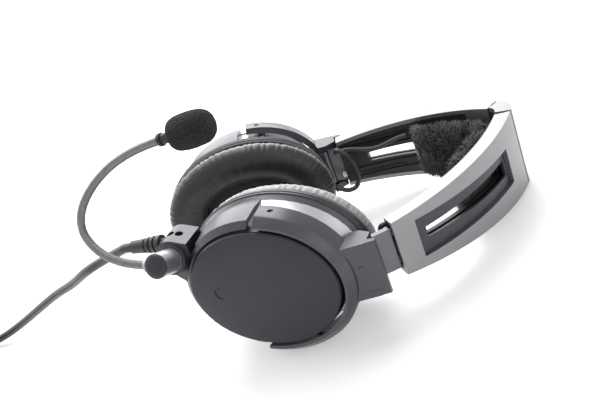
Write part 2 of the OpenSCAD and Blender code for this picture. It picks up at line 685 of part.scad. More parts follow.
// Oval hole in the lug's front face
module web_slot() for (x = [-2.4, 2.4]) translate([0, -x, 0]) cylinder(h = 12, r = 2);
relief_at = [-50, 13.5, 24.5];
relief_l = 20;
module strain_relief() {
    color(black) on_cup(left) translate(relief_at) rotate([0, -90, 0]) rotate_extrude() polygon([
        [0, -3], [2.7, -3], [2.7, 2.2], [4.4, 2.2], [4.4, 4.6], [3.3, 4.6], [3.3, 5.8], [4.2, 5.8], [4.2, 7.6],
        [3.2, 7.6], [3.2, 8.8], [4, 8.8], [4, 10.6], [3.1, 10.6], [3.1, 11.8], [3.7, 11.8], [3.3, relief_l], [0, relief_l]
    ]);
}
neck_z = 9;
neck_route = [
    [-9.8, 0.7], [-15.7, 1.6], [-23.1, 3.6], [-31.4, 7.6], [-37.7, 13.3], [-41.4, 20.2], [-41, 27.5],
    [-37, 34.6], [-29.7, 41.7], [-19.8, 48], [-9.5, 52.2], [1.2, 54.9], [12, 56.5]
];
module boom_knob() {
    color(silver) on_knob() union() {
        translate([0, 0, 0.7]) cylinder(h = knob_l - 0.7, r = knob_r);
        translate([0, 0, -6]) cylinder(h = 7, r = swivel_r);
        translate([-5, 0.3, neck_z]) rotate([0, -90, 4]) cylinder(h = 4.2, r = neck_r + 0.7);
    }
}
module knob_cap() {
    color(black) on_knob() translate([0, 0, knob_l + 0.05]) rotate_extrude() polygon([
        [0, 0], [knob_r, 0], [knob_r, 0.6], [knob_r - 0.5, 1.3], [knob_r - 1.8, 2], [knob_r - 3.6, 2.4], [0, 2.5]
    ]);
}
module gooseneck() {
    path = spline([for (p = neck_route) [p.x, p.y, neck_z]], 24);
    count = len(path) - 1;
    rib = [for (i = [0 : neck_ribs]) round(i * count / neck_ribs)];
    rings = [for (j = [0 : len(rib) - 1]) each [
        section(path, rib[j], neck_r, 8, [0, 0, 1]),
        if (j < len(rib) - 1) section(path, floor((rib[j] + rib[j + 1]) / 2), neck_r - 0.25, 8, [0, 0, 1])
    ]];
    color(slate) on_knob() skin(rings);
}
stem_angle = 6;
module on_stem() on_knob() translate([12.3, 56.55, neck_z]) rotate([0, 0, stem_angle]) rotate([0, 90, 0]) children();
module mic_stem() {
    color(black) on_stem() union() {
        cylinder(h = 10, r = neck_r + 0.35);
        cylinder(h = 1.6, r = neck_r + 1);
        translate([0, 0, 10]) cylinder(h = 12, r = 3.4);
    }
}
module windscreen() {
    r = foam_r;
    l = foam_l;
    color(black) on_stem() translate([0, 0, 7]) difference() {
        rotate_extrude() polygon([
            [0, 0], [r * 0.5, 0], [r * 0.8, l * 0.05], [r * 0.93, l * 0.17], [r, l * 0.36], [r, l * 0.62],
            [r * 0.93, l * 0.82], [r * 0.72, l * 0.95], [r * 0.4, l], [0, l]
        ]);
        translate([0, 0, -1]) cylinder(h = 4.2, r = neck_r + 0.4);
        translate([0, 0, 3]) cylinder(h = 12.3, r = 3.5);
    }
}

// ---- main lead, lying on the floor, in floor coordinates ----
coil_at = [-271, 97];
coil_layers = 4;
coil_step = 2 * lead_r + 0.6;
coil_start = 80;
loop_rings = 24;
layer_turns = coil_turns / coil_layers;
relief_tip = floor_pt(cup_pt(left, relief_at - [relief_l, 0, 0]));
relief_way = floor_pt(cup_pt(left, relief_at - [relief_l + 1, 0, 0])) - relief_tip;
lead_route = [
    [-112, 4, 65], [-126, 14, 60], [-144, 38, 48], [-163, 60, 38], [-181, 79, 28],
    [-207, 104, 14], [-226, 117, 6.5], [-242, 124, 3.3]
];
// The coil winds in and out again, layer on layer, and climbs where the spiral turns back
function coil_pt(t) =
    let (k = min(floor(t / layer_turns), coil_layers - 1), u = t - k * layer_turns,
         r = coil_out - coil_step * (k % 2 == 0 ? u : layer_turns - u),
         lift = total([for (j = [1 : coil_layers - 1]) min(max((t - j * layer_turns) * 2 + 0.5, 0), 1)]),
         a = coil_start + 360 * t)
    [coil_at.x + r * cos(a), coil_at.y + r * sin(a), lead_r + coil_step * lift];
function coil_way(t) = let (a = coil_start + 360 * t) [-sin(a), cos(a), 0];
coil_count = round(coil_turns * loop_rings);
coil_in = coil_pt(0) - 2 * lead_r * coil_way(0);
coil_exit = coil_pt(coil_turns) + 2 * lead_r * coil_way(coil_turns);
coil_path = concat([coil_in], [for (i = [0 : coil_count]) coil_pt(i / loop_rings)], [coil_exit]);
coil_gap = min([for (i = [0 : len(coil_path) - 1], j = [i + 12 : 1 : len(coil_path) - 1])
    norm(coil_path[i] - coil_path[j])]) - 2 * lead_r;
echo(coil_gap = coil_gap);

module main_lead() {
    first = [relief_tip + 0.05 * relief_way, relief_tip + 2 * lead_r * relief_way];
    last = [coil_in - 2.2 * lead_r * coil_way(0), coil_in - 0.05 * coil_way(0)];
    color(graphite) tube(concat([first[0]], spline(concat([first[1]], lead_route, [last[0]]), 3), [last[1]]), lead_r);
}
module lead_coil() color(graphite) tube(coil_path, lead_r, 6);
split_at = [-303.5, 56, 4.5];
split_l = 18;
split_r = 4.5;
module lead_tail() {
    way = coil_way(coil_turns);
    route = [
        coil_exit + 0.05 * way, coil_exit + 5 * way, [-303, 87, 16], [-304, 77, 10.5], [-304, 68, 6],
        split_at + [0, 6, 0], split_at + [0, 0.05, 0]
    ];
    last = len(route) - 1;
    middle = spline([for (i = [1 : last - 1]) route[i]], 2);
    color(graphite) tube(concat([route[0]], middle, [route[last]]), lead_r);
}
module lead_splitter() {
    color(black) translate(split_at) rotate([90, 0, 0]) rotate_extrude() polygon([
        [0, 0], [3.4, 0], [split_r, 3], [split_r, split_l], [0, split_l]
    ]);
}
boot_gap = 9;
boot_y = -9;
boot_l = 38;
boot_r = 6;
module plug_lead(side) {
    route = [[2.1, 33.5, 4.5], [4, 25, 3.1], [7, 12, 2.1], [8.6, 3, 3.2], [9, -4, 6]];
    ends = [[2.1, 37.95, 4.5], [9, -9, 6]];
    path = concat([ends[0]], spline(route, 4), [ends[1]]);
    tube([for (p = path) [split_at.x + side * p.x, p.y, p.z]], tail_r);
}
module plug_leads() color(graphite) for (m = [-1, 1]) plug_lead(m);
module along_plug(side) translate([split_at.x + side * boot_gap, boot_y, boot_r]) rotate([90, 0, 0]) children();
module plug_boot(side) {
    color(black) along_plug(side) rotate_extrude() polygon([
        [0, 0.05], [2.6, 0.05], [3.2, 8], [4.6, 10], [boot_r, 13], [boot_r, 17], [boot_r - 0.6, 17.6],
        [boot_r - 0.6, 19], [boot_r, 19.6], [boot_r, 23], [boot_r - 0.6, 23.6], [boot_r - 0.6, 25],
        [boot_r, 25.6], [boot_r, 29], [boot_r - 0.6, 29.6], [boot_r - 0.6, 31], [boot_r, 31.6],
        [boot_r, boot_l], [0, boot_l]
    ]);
}
// Plug pin with its collar, ring grooves and ball tip
module plug_pin(side, r) {
    color(steel) along_plug(side) translate([0, 0, boot_l + 0.05]) rotate_extrude() polygon([
        [0, 0], [r + 1.6, 0], [r + 1.6, 2], [r, 2], [r, plug_l - 11], [r - 0.35, plug_l - 10.6],
        [r - 0.35, plug_l - 9.6], [r, plug_l - 9.2], [r, plug_l - 5.4], [r - 1, plug_l - 4.2],
        [r - 0.2, plug_l - 2.8], [r - 0.3, plug_l - 2], [r - 1.8, plug_l], [0, plug_l]
    ]);
}

crown_cover();
crown_frame();
hinge_pins();
torsion_springs();
head_pad();
arm_frame(left);  // left_arm_frame
window_frame(left);  // left_window_frame
arm_liner(left);  // left_arm_liner
arm_screws(left);  // left_arm_screws
arm_lead(left);  // left_arm_lead
arm_frame(right);  // right_arm_frame
window_frame(right);  // right_window_frame
arm_liner(right);  // right_arm_liner
arm_screws(right);  // right_arm_screws
arm_lead(right);  // right_arm_lead
slider_rails(left);  // left_slider_rails
slider_head(left);  // left_slider_head
slider_rails(right);  // right_slider_rails
slider_head(right);  // right_slider_head
yoke(left);  // left_yoke
fold_pin(left);  // left_fold_pin
tilt_pins(left);  // left_tilt_pins
yoke(right);  // right_yoke
fold_pin(right);  // right_fold_pin
tilt_pins(right);  // right_tilt_pins
housing(left);  // left_housing
cap(left);  // left_cap
flange(left);  // left_flange
baffle(left);  // left_baffle
driver(left);  // left_driver
board(left);  // left_board
scrim(left);  // left_scrim
cushion(left);  // left_cushion
lead_loop(left);  // left_lead_loop
housing(right);  // right_housing
cap(right);  // right_cap
flange(right);  // right_flange
baffle(right);  // right_baffle
driver(right);  // right_driver
board(right);  // right_board
scrim(right);  // right_scrim
cushion(right);  // right_cushion
lead_loop(right);  // right_lead_loop
boom_lug();
strain_relief();
boom_knob();
knob_cap();
gooseneck();
mic_stem();
windscreen();
main_lead();
lead_coil();
lead_tail();
lead_splitter();
plug_leads();
plug_boot(-1);  // phone_plug_boot
plug_pin(-1, phone_plug_r);  // phone_plug_pin
plug_boot(1);  // mic_plug_boot
plug_pin(1, mic_plug_r);  // mic_plug_pin
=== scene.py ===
"""Aviation headset lying on a pale floor: materials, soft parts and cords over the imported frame."""
import json
import math
import random
import bpy
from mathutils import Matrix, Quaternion, Vector, noise


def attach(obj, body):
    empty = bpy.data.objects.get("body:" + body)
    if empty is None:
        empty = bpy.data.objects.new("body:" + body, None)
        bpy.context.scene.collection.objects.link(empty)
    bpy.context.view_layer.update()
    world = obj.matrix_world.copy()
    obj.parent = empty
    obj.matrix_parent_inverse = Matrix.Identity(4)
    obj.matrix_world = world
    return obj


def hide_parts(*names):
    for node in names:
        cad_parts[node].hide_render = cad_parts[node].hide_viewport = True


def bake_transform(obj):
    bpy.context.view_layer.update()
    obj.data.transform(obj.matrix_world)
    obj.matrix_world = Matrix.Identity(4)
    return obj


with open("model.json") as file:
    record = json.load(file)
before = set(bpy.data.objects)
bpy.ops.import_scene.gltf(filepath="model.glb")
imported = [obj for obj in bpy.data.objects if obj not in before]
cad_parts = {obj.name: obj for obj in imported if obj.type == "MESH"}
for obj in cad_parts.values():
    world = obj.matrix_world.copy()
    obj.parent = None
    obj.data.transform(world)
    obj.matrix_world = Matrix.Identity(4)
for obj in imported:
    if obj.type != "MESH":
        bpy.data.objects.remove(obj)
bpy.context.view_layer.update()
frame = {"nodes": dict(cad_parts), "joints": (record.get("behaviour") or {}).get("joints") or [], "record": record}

for default in ("Cube", "Light", "Camera"):
    if default in bpy.data.objects:
        bpy.data.objects.remove(bpy.data.objects[default])
MM = 0.001
SIDES = ("left", "right")

# ---------------------------------------------------------------- places taken from the frame

JOINTS = {j["name"]: j for j in frame["joints"]}
MOUNTS = {m["name"]: m for m in frame["record"]["mounts"]}
FRONT = Vector(JOINTS["left_cup_tilt"]["axis"]).normalized()
FACE_DEPTH = 42.6 * MM


def cup_axes(side):
    """Origin on the outer cap's plane, then the axes towards the crown, the head and the front."""
    mount = MOUNTS[side + "_ear"]
    inward = Vector(mount["axis"]).normalized()
    along = inward.cross(FRONT) * (1 if side == "left" else -1)
    return Vector(mount["pos_m"]) - inward * FACE_DEPTH, along.normalized(), inward, FRONT


def in_cup(side, a, depth, b):
    """A point of a cup by its distance towards the crown, towards the head and towards the front."""
    origin, along, inward, front = cup_axes(side)
    return origin + along * a + inward * depth + front * b


# The headband as part.scad draws it, in millimetres and degrees: each side is an arc round (ARC_X, ARC_Y)
# that meets the crown's own arc at SEAM, and the whole lies tilted and lifted on the floor.
REST_TILT = math.radians(7.0901316)
REST_LIFT = 39.1150
ORIGIN = (38.9, 7.87)
ARC_X = 43.5
ARC_Y = 54.8
INNER_R = 110.4
CROWN_R = 16
CROWN_CX = 130.3576
SEAM = 32.2485


def lie(p, side):
    """A point of the headband in millimetres, drawn for the left side, where the headset lies."""
    y = p.y if side == "left" else -p.y
    c, s = math.cos(REST_TILT), math.sin(REST_TILT)
    return Vector((p.x * c + p.z * s - ORIGIN[0], y - ORIGIN[1], p.z * c - p.x * s + REST_LIFT)) * MM


def on_arc(r, degrees, z):
    """A point of the left arm, in millimetres: radius, angle and height in the band's width."""
    a = math.radians(degrees)
    return Vector((ARC_X + r * math.cos(a), ARC_Y - r * math.sin(a), z))


KNOB_AT = Vector(JOINTS["boom_swivel"]["pos_m"])
KNOB_OUT = Vector(JOINTS["boom_swivel"]["axis"]).normalized()


def on_knob(x, y, z):
    """A point of the boom: x towards the crown, z out along the knob's axis."""
    along = cup_axes("left")[1]
    return KNOB_AT + along * x + KNOB_OUT.cross(along) * y + KNOB_OUT * z


# ---------------------------------------------------------------- camera

LENS_MM = 53.57
SENSOR_MM = 36.0
CAMERA_AT = Vector((0.00715, -0.42284, 0.23166))
LOOK_AT = Vector((-0.01072, 0.01049, 0.0352))
CAMERA_ROLL = math.radians(-28.87)


def add_camera():
    camera = bpy.data.objects.new("camera", bpy.data.cameras.new("camera"))
    bpy.context.collection.objects.link(camera)
    camera.data.lens = LENS_MM
    camera.data.sensor_width = SENSOR_MM
    camera.data.clip_start = 0.01
    turn = (LOOK_AT - CAMERA_AT).to_track_quat("-Z", "Y")
    camera.rotation_mode = "QUATERNION"
    camera.rotation_quaternion = turn @ Quaternion((0, 0, 1), CAMERA_ROLL)
    camera.location = CAMERA_AT
    bpy.context.scene.camera = camera


# ---------------------------------------------------------------- mesh and curve helpers

def new_mesh(name, verts, faces, smooth=True):
    mesh = bpy.data.meshes.new(name)
    mesh.from_pydata([tuple(v) for v in verts], [], faces)
    mesh.validate()
    for polygon in mesh.polygons:
        polygon.use_smooth = smooth
    piece = bpy.data.objects.new(name, mesh)
    bpy.context.collection.objects.link(piece)
    return piece


def band(rows, count, ring=False):
    """Quads between rows of count points, each row closed. A ring also joins its last row to its first."""
    faces = []
    for i in range(rows):
        start = i * count
        end = (i + 1) % rows * count if ring else start + count
        for k in range(count):
            m = (k + 1) % count
            faces.append((start + k, start + m, end + m, end + k))
    return faces


def inside_out(faces):
    """The same quads seen from the other side, each from the same first corner."""
    return [(a, d, c, b) for a, b, c, d in faces]


def spline(points, steps):
    """Catmull-Rom curve through the points."""
    out = []
    last = len(points) - 1
    for i in range(last):
        a, b = points[max(i - 1, 0)], points[i]
        c, d = points[i + 1], points[min(i + 2, last)]
        for k in range(steps):
            t = k / steps
            out.append(0.5 * (2 * b + (c - a) * t + (2 * a - 5 * b + 4 * c - d) * t * t
                              + (3 * b - a - 3 * c + d) * t ** 3))
    out.append(points[last].copy())
    return out


def path_length(path):
    return sum((b - a).length for a, b in zip(path, path[1:]))


def tube(name, path, radius, sides=16, closed_ends=True):
    """Tube of a given radius, or of a radius for each point, swept without twist."""
    verts = []
    side = None
    for i, p in enumerate(path):
        way = (path[min(i + 1, len(path) - 1)] - path[max(i - 1, 0)]).normalized()
        if side is None:
            side = way.orthogonal().normalized()
        side = (side - way * side.dot(way)).normalized()
        up = way.cross(side)
        r = radius[i] if isinstance(radius, list) else radius
        for k in range(sides):
            t = 2 * math.pi * k / sides
            verts.append(p + (side * math.cos(t) + up * math.sin(t)) * r)
    faces = band(len(path) - 1, sides)
    if closed_ends:
        faces.append(tuple(range(sides - 1, -1, -1)))
        faces.append(tuple(range(len(verts) - sides, len(verts))))
    return new_mesh(name, verts, faces)


def cord_curve(name, path, radius, material):
    """Round curve of one open spline through the path."""
    curve = bpy.data.curves.new(name, "CURVE")
    curve.dimensions = "3D"
    curve.bevel_depth = radius
    curve.bevel_resolution = 4
    curve.use_fill_caps = True
    line = curve.splines.new("POLY")
    line.points.add(len(path) - 1)
    for point, place in zip(line.points, path):
        point.co = (*place, 1)
    piece = bpy.data.objects.new(name, curve)
    bpy.context.collection.objects.link(piece)
    curve.materials.append(material)
    return piece


# ---------------------------------------------------------------- materials

# The colour sockets of Blender's Mix node
MIX_LOW = 6
MIX_HIGH = 7
MIX_COLOUR = 2


class Nodes:
    """Short names for building a material's nodes."""

    def __init__(self, name, material=None):
        self.material = material or bpy.data.materials.new(name)
        self.material.use_nodes = True
        self.tree = self.material.node_tree
        self.shader = self.tree.nodes["Principled BSDF"]

    def add(self, kind, **inputs):
        node = self.tree.nodes.new(kind)
        for key, value in inputs.items():
            node.inputs[key.replace("_", " ")].default_value = value
        return node

    def link(self, source, output, target, socket):
        self.tree.links.new(source.outputs[output], target.inputs[socket])

    def math(self, operation, source, output, value=0.0, other=None):
        """source's output and a plain value, or another Math node's result."""
        node = self.tree.nodes.new("ShaderNodeMath")
        node.operation = operation
        node.inputs[1].default_value = value
        self.link(source, output, node, 0)
        if other:
            self.link(other, 0, node, 1)
        return node

    def mix(self, factor, output, low, high):
        """Colour that runs from one node's to another's, or to a plain colour, by a factor."""
        node = self.add("ShaderNodeMix")
        node.data_type = "RGBA"
        self.link(factor, output, node, 0)
        self.tree.links.new(low, node.inputs[MIX_LOW])
        if isinstance(high, tuple):
            node.inputs[MIX_HIGH].default_value = (*high, 1)
        else:
            self.tree.links.new(high, node.inputs[MIX_HIGH])
        self.tree.links.new(node.outputs[MIX_COLOUR], self.shader.inputs["Base Color"])

    def place(self, scale=(1, 1, 1)):
        """Object coordinates, stretched by scale."""
        coords = self.add("ShaderNodeTexCoord")
        mapping = self.add("ShaderNodeMapping")
        mapping.inputs["Scale"].default_value = scale
        self.link(coords, "Object", mapping, "Vector")
        return mapping

    def noise(self, scale, detail=4.0, stretch=(1, 1, 1), roughness=0.55):
        node = self.add("ShaderNodeTexNoise", Scale=scale, Detail=detail, Roughness=roughness)
        self.link(self.place(stretch), "Vector", node, "Vector")
        return node

    def ramp(self, source, output, low, high, start=0.3, end=0.7):
        node = self.add("ShaderNodeValToRGB")
        node.color_ramp.elements[0].position = start
        node.color_ramp.elements[0].color = (*low, 1)
        node.color_ramp.elements[1].position = end
        node.color_ramp.elements[1].color = (*high, 1)
        self.link(source, output, node, "Fac")
        return node

    def vary(self, source, output, low, high):
        node = self.add("ShaderNodeMapRange")
        node.inputs["To Min"].default_value = low
        node.inputs["To Max"].default_value = high
        self.link(source, output, node, "Value")
        return node

    def bump(self, source, output, strength, distance, below=None):
        node = self.add("ShaderNodeBump", Strength=strength, Distance=distance)
        self.link(source, output, node, "Height")
        if below:
            self.link(below, "Normal", node, "Normal")
        return node

    def edge(self, radius):
        return self.add("ShaderNodeBevel", Radius=radius)


def shade(tone, factor):
    return tuple(min(c * factor, 1.0) for c in tone)


def painted(name, tone, rough, metallic, grain=0.05, edge=0.25 * MM, coat=0.0, specular=0.5):
    """Sprayed metallic or plastic finish: fine flake, faint orange peel and soft edges."""
    n = Nodes(name)
    broad = n.noise(35.0, 3.0)
    flake = n.noise(2600.0, 2.0)
    colour = n.ramp(broad, "Fac", shade(tone, 0.94), shade(tone, 1.06))
    n.link(colour, "Color", n.shader, "Base Color")
    n.link(n.vary(flake, "Fac", rough * 0.85, rough * 1.15), "Result", n.shader, "Roughness")
    n.shader.inputs["Metallic"].default_value = metallic
    n.shader.inputs["Coat Weight"].default_value = coat
    n.shader.inputs["Coat Roughness"].default_value = 0.25
    n.shader.inputs["Specular IOR Level"].default_value = specular
    soft = n.edge(edge)
    peel = n.bump(flake, "Fac", grain, 0.05 * MM, soft)
    n.link(peel, "Normal", n.shader, "Normal")
    return n.material


# The cap's half axes in millimetres, and what lies further out than them, at two depths, is the rim band
CAP_HALF = (38.2, 30.9)
RIM_DEPTHS = (15.4, 23.0)
RIM_PAST_CAP = ((2.5, 6.6), (2.2, 4.0))
LIP_DEPTH = 5.6


def two_tone(name, tone, rim_tone, side):
    """The cup's silver paint, with the rim band and the lip round the cap in graphite."""
    n = Nodes(name, painted(name, tone, 0.34, 0.75, coat=0.15))
    coords = n.add("ShaderNodeTexCoord")
    origin, along, inward, front = cup_axes(side)
    values = []
    for axis in (along, inward, front):
        dot = n.add("ShaderNodeVectorMath")
        dot.operation = "DOT_PRODUCT"
        dot.inputs[1].default_value = axis / MM
        n.link(coords, "Object", dot, 0)
        values.append(n.math("SUBTRACT", dot, "Value", origin.dot(axis) / MM))
    a, depth, b = values
    squares = []
    for value, half, past in zip((a, b), CAP_HALF, RIM_PAST_CAP):
        limit = n.add("ShaderNodeMapRange", From_Min=RIM_DEPTHS[0], From_Max=RIM_DEPTHS[1],
                      To_Min=half + past[0], To_Max=half + past[1])
        n.link(depth, "Value", limit, "Value")
        share = n.math("DIVIDE", value, "Value", other=limit)
        squares.append(n.math("POWER", n.math("ABSOLUTE", share, "Value"), "Value", 2.0))
    total = n.math("ADD", squares[0], "Value", other=squares[1])
    rim = n.math("GREATER_THAN", total, "Value", 1.0)
    lip = n.math("LESS_THAN", depth, "Value", LIP_DEPTH)
    mask = n.math("MAXIMUM", rim, "Value", other=lip)
    n.mix(mask, "Value", n.shader.inputs["Base Color"].links[0].from_socket, rim_tone)
    return n.material


def moulded(name, tone, rough, grain=0.25, scale=900.0, edge=0.2 * MM):
    """Moulded plastic or rubber with a fine spark-eroded grain."""
    n = Nodes(name)
    texture = n.noise(scale, 3.0)
    wear = n.noise(60.0, 4.0)
    colour = n.ramp(wear, "Fac", shade(tone, 0.85), shade(tone, 1.2))
    n.link(colour, "Color", n.shader, "Base Color")
    n.link(n.vary(texture, "Fac", rough * 0.8, rough * 1.2), "Result", n.shader, "Roughness")
    n.link(n.bump(texture, "Fac", grain, 0.08 * MM, n.edge(edge)), "Normal", n.shader, "Normal")
    return n.material


def brushed(name, tone, rough, stretch=(1, 1, 30), edge=0.12 * MM):
    """Drawn or ground steel with fine lines."""
    n = Nodes(name)
    lines = n.noise(500.0, 4.0, stretch)
    n.link(n.ramp(lines, "Fac", shade(tone, 0.8), shade(tone, 1.1)), "Color", n.shader, "Base Color")
    n.link(n.vary(lines, "Fac", rough * 0.7, rough * 1.3), "Result", n.shader, "Roughness")
    n.shader.inputs["Metallic"].default_value = 1.0
    n.link(n.bump(lines, "Fac", 0.1, 0.03 * MM, n.edge(edge)), "Normal", n.shader, "Normal")
    return n.material


def leatherette(name, tone, highlight_tone, rough, highlight_end):
    """Thin coated cloth with a pebble grain and radial creases; its gathered outer side is drawn pale as a painted
    highlight, and darker in the creases as painted shade.

    The UV runs round the ring in x, and round its section in y, where the last argument is the end of the outer
    side, where the painted highlight gives way to the face's tone.
    """
    n = Nodes(name)
    cells = n.add("ShaderNodeTexVoronoi", Scale=1500.0)
    n.link(n.place(), "Vector", cells, "Vector")
    uv = n.add("ShaderNodeTexCoord")
    stretch = n.add("ShaderNodeMapping")
    stretch.inputs["Scale"].default_value = (70, 2.2, 1)
    n.link(uv, "UV", stretch, "Vector")
    creases = n.add("ShaderNodeTexNoise", Scale=1.0, Detail=3.0, Roughness=0.6)
    n.link(stretch, "Vector", creases, "Vector")
    tint = n.noise(50.0, 3.0)
    face = n.ramp(tint, "Fac", shade(tone, 0.8), shade(tone, 1.25))
    # Painted highlight: the outer side drawn pale, and darker in the creases as painted shade
    outer = n.ramp(creases, "Fac", shade(highlight_tone, 0.75), shade(highlight_tone, 1.15))
    split = n.add("ShaderNodeSeparateXYZ")
    n.link(uv, "UV", split, "Vector")
    past_side = n.add("ShaderNodeMapRange", From_Min=highlight_end[0], From_Max=highlight_end[1])
    n.link(split, "Y", past_side, "Value")
    n.mix(past_side, "Result", outer.outputs["Color"], face.outputs["Color"])
    n.link(n.vary(creases, "Fac", rough * 0.75, rough * 1.3), "Result", n.shader, "Roughness")
    n.shader.inputs["Sheen Weight"].default_value = 0.15
    n.shader.inputs["Sheen Roughness"].default_value = 0.4
    pebble = n.bump(cells, "Distance", 0.25, 0.06 * MM)
    n.link(n.bump(creases, "Fac", 0.55, 0.5 * MM, pebble), "Normal", n.shader, "Normal")
    return n.material


# Waves per metre of Blender's Wave texture, for threads 0.9 mm apart
WEAVE_SCALE = 0.32 / (0.9 * MM)


def woven(name, tone):
    """Plain weave from two crossed waves."""
    n = Nodes(name)
    waves = []
    for direction in ("X", "Z"):
        wave = n.add("ShaderNodeTexWave", Scale=WEAVE_SCALE, Distortion=0.6, Detail=1.0)
        wave.bands_direction = direction
        n.link(n.place(), "Vector", wave, "Vector")
        waves.append(wave)
    cross = n.add("ShaderNodeMath")
    cross.operation = "MULTIPLY"
    for i, wave in enumerate(waves):
        n.link(wave, "Fac", cross, i)
    threads = n.ramp(cross, "Value", shade(tone, 0.4), shade(tone, 1.6), 0.0, 0.8)
    n.link(threads, "Color", n.shader, "Base Color")
    n.shader.inputs["Roughness"].default_value = 0.95
    n.shader.inputs["Sheen Weight"].default_value = 0.3
    n.link(n.bump(cross, "Value", 0.8, 0.3 * MM), "Normal", n.shader, "Normal")
    return n.material


def fleece(name, root, tip):
    """Wool fibres, paler here and there."""
    n = Nodes(name)
    locks = n.noise(160.0, 5.0)
    n.link(n.ramp(locks, "Fac", root, tip, 0.35, 0.75), "Color", n.shader, "Base Color")
    n.shader.inputs["Roughness"].default_value = 0.9
    n.shader.inputs["Sheen Weight"].default_value = 0.5
    n.shader.inputs["Sheen Roughness"].default_value = 0.5
    return n.material


def foam(name, tone):
    """Open-cell foam: small hollows drawn dark as painted shade, with a pitted bump."""
    n = Nodes(name)
    cells = n.add("ShaderNodeTexVoronoi", Scale=1100.0, Randomness=1.0)
    n.link(n.place(), "Vector", cells, "Vector")
    # Painted shade: darker in the cells' hollows, paler on their walls
    painted_pit_shade = n.ramp(cells, "Distance", shade(tone, 0.3), shade(tone, 2.4), 0.1, 0.7)
    n.link(painted_pit_shade, "Color", n.shader, "Base Color")
    n.shader.inputs["Roughness"].default_value = 1.0
    n.link(n.bump(cells, "Distance", 1.0, 0.5 * MM), "Normal", n.shader, "Normal")
    return n.material


def circuit(name):
    """Green board with gilt tracks."""
    n = Nodes(name)
    tracks = n.add("ShaderNodeTexBrick", Scale=400.0)
    tracks.inputs["Color1"].default_value = (0.02, 0.12, 0.05, 1)
    tracks.inputs["Color2"].default_value = (0.03, 0.16, 0.07, 1)
    tracks.inputs["Mortar"].default_value = (0.25, 0.2, 0.08, 1)
    n.link(n.place(), "Vector", tracks, "Vector")
    n.link(tracks, "Color", n.shader, "Base Color")
    n.shader.inputs["Roughness"].default_value = 0.35
    return n.material


SILVER = (0.50, 0.505, 0.52)
CUP_SILVER = shade(SILVER, 0.95)
RIM_GRAPHITE = (0.075, 0.078, 0.088)
LEATHER = (0.016, 0.016, 0.018)
# Painted highlight: the cushions' black cover drawn pale grey on its outer side, where the light falls on it
PAINTED_HIGHLIGHT_GREY = (0.5, 0.5, 0.505)
MATERIALS = {
    "band_silver": painted("band_silver", shade(SILVER, 0.56), 0.36, 0.8, coat=0.1),
    "cup_silver": painted("cup_silver", CUP_SILVER, 0.34, 0.75, coat=0.15),
    "cap_slate": painted("cap_slate", (0.036, 0.039, 0.046), 0.42, 0.15, grain=0.08, specular=0.4),
    "yoke_graphite": painted("yoke_graphite", (0.085, 0.088, 0.098), 0.3, 0.6, grain=0.1),
    "link_grey": painted("link_grey", (0.16, 0.165, 0.175), 0.35, 0.7),
    "window_plastic": moulded("window_plastic", (0.055, 0.06, 0.072), 0.4),
    "black_plastic": moulded("black_plastic", (0.012, 0.012, 0.014), 0.45),
    "flange_plastic": moulded("flange_plastic", (0.03, 0.03, 0.034), 0.35),
    "steel": brushed("steel", (0.6, 0.6, 0.58), 0.3),
    "cushion_leather": leatherette("cushion_leather", LEATHER, PAINTED_HIGHLIGHT_GREY, 0.38, (0.12, 0.24)),
    "scrim_cloth": woven("scrim_cloth", (0.05, 0.05, 0.054)),
    "sheepskin": fleece("sheepskin", (0.012, 0.012, 0.014), (0.09, 0.09, 0.1)),
    "foam": foam("foam", (0.012, 0.012, 0.013)),
    "neck_steel": brushed("neck_steel", (0.2, 0.2, 0.21), 0.34, (1, 1, 1)),
    "lead_rubber": moulded("lead_rubber", (0.05, 0.052, 0.058), 0.42, grain=0.15),
    "board_green": circuit("board_green"),
    "plug_metal": brushed("plug_metal", (0.62, 0.58, 0.5), 0.22),
}
# The near cushion is seen from outside, so its painted highlight, the pale side, reaches up to the crown: a lit
# copy of the cushion's material
LEATHER_NEAR_HIGHLIT = leatherette("cushion_leather_near_highlit", LEATHER, PAINTED_HIGHLIGHT_GREY, 0.4, (0.32, 0.44))
TWO_TONE = {side: two_tone(side + "_cup_paint", CUP_SILVER, RIM_GRAPHITE, side) for side in SIDES}
PINS = ("fold_pin", "tilt_pins")
LINING = moulded("pad_lining", (0.16, 0.165, 0.175), 0.6, 0.4, 500.0)
SMOOTH_ANGLE = math.radians(24)
WELD = 1e-7


def smooth_by_angle():
    """Node group that joins points in one place, and shades smooth all but the sharper edges."""
    group = bpy.data.node_groups.new("smooth_by_angle", "GeometryNodeTree")
    group.interface.new_socket("Geometry", in_out="INPUT", socket_type="NodeSocketGeometry")
    group.interface.new_socket("Geometry", in_out="OUTPUT", socket_type="NodeSocketGeometry")
    start = group.nodes.new("NodeGroupInput")
    end = group.nodes.new("NodeGroupOutput")
    weld = group.nodes.new("GeometryNodeMergeByDistance")
    weld.inputs["Distance"].default_value = WELD
    faces = group.nodes.new("GeometryNodeSetShadeSmooth")
    edges = group.nodes.new("GeometryNodeSetShadeSmooth")
    edges.domain = "EDGE"
    bend = group.nodes.new("GeometryNodeInputMeshEdgeAngle")
    shallow = group.nodes.new("FunctionNodeCompare")
    shallow.operation = "LESS_THAN"
    shallow.inputs[1].default_value = SMOOTH_ANGLE
    group.links.new(start.outputs[0], weld.inputs["Geometry"])
    group.links.new(weld.outputs["Geometry"], faces.inputs["Geometry"])
    group.links.new(faces.outputs["Geometry"], edges.inputs["Geometry"])
    group.links.new(bend.outputs["Unsigned Angle"], shallow.inputs[0])
    group.links.new(shallow.outputs[0], edges.inputs["Shade Smooth"])
    group.links.new(edges.outputs["Geometry"], end.inputs[0])
    return group


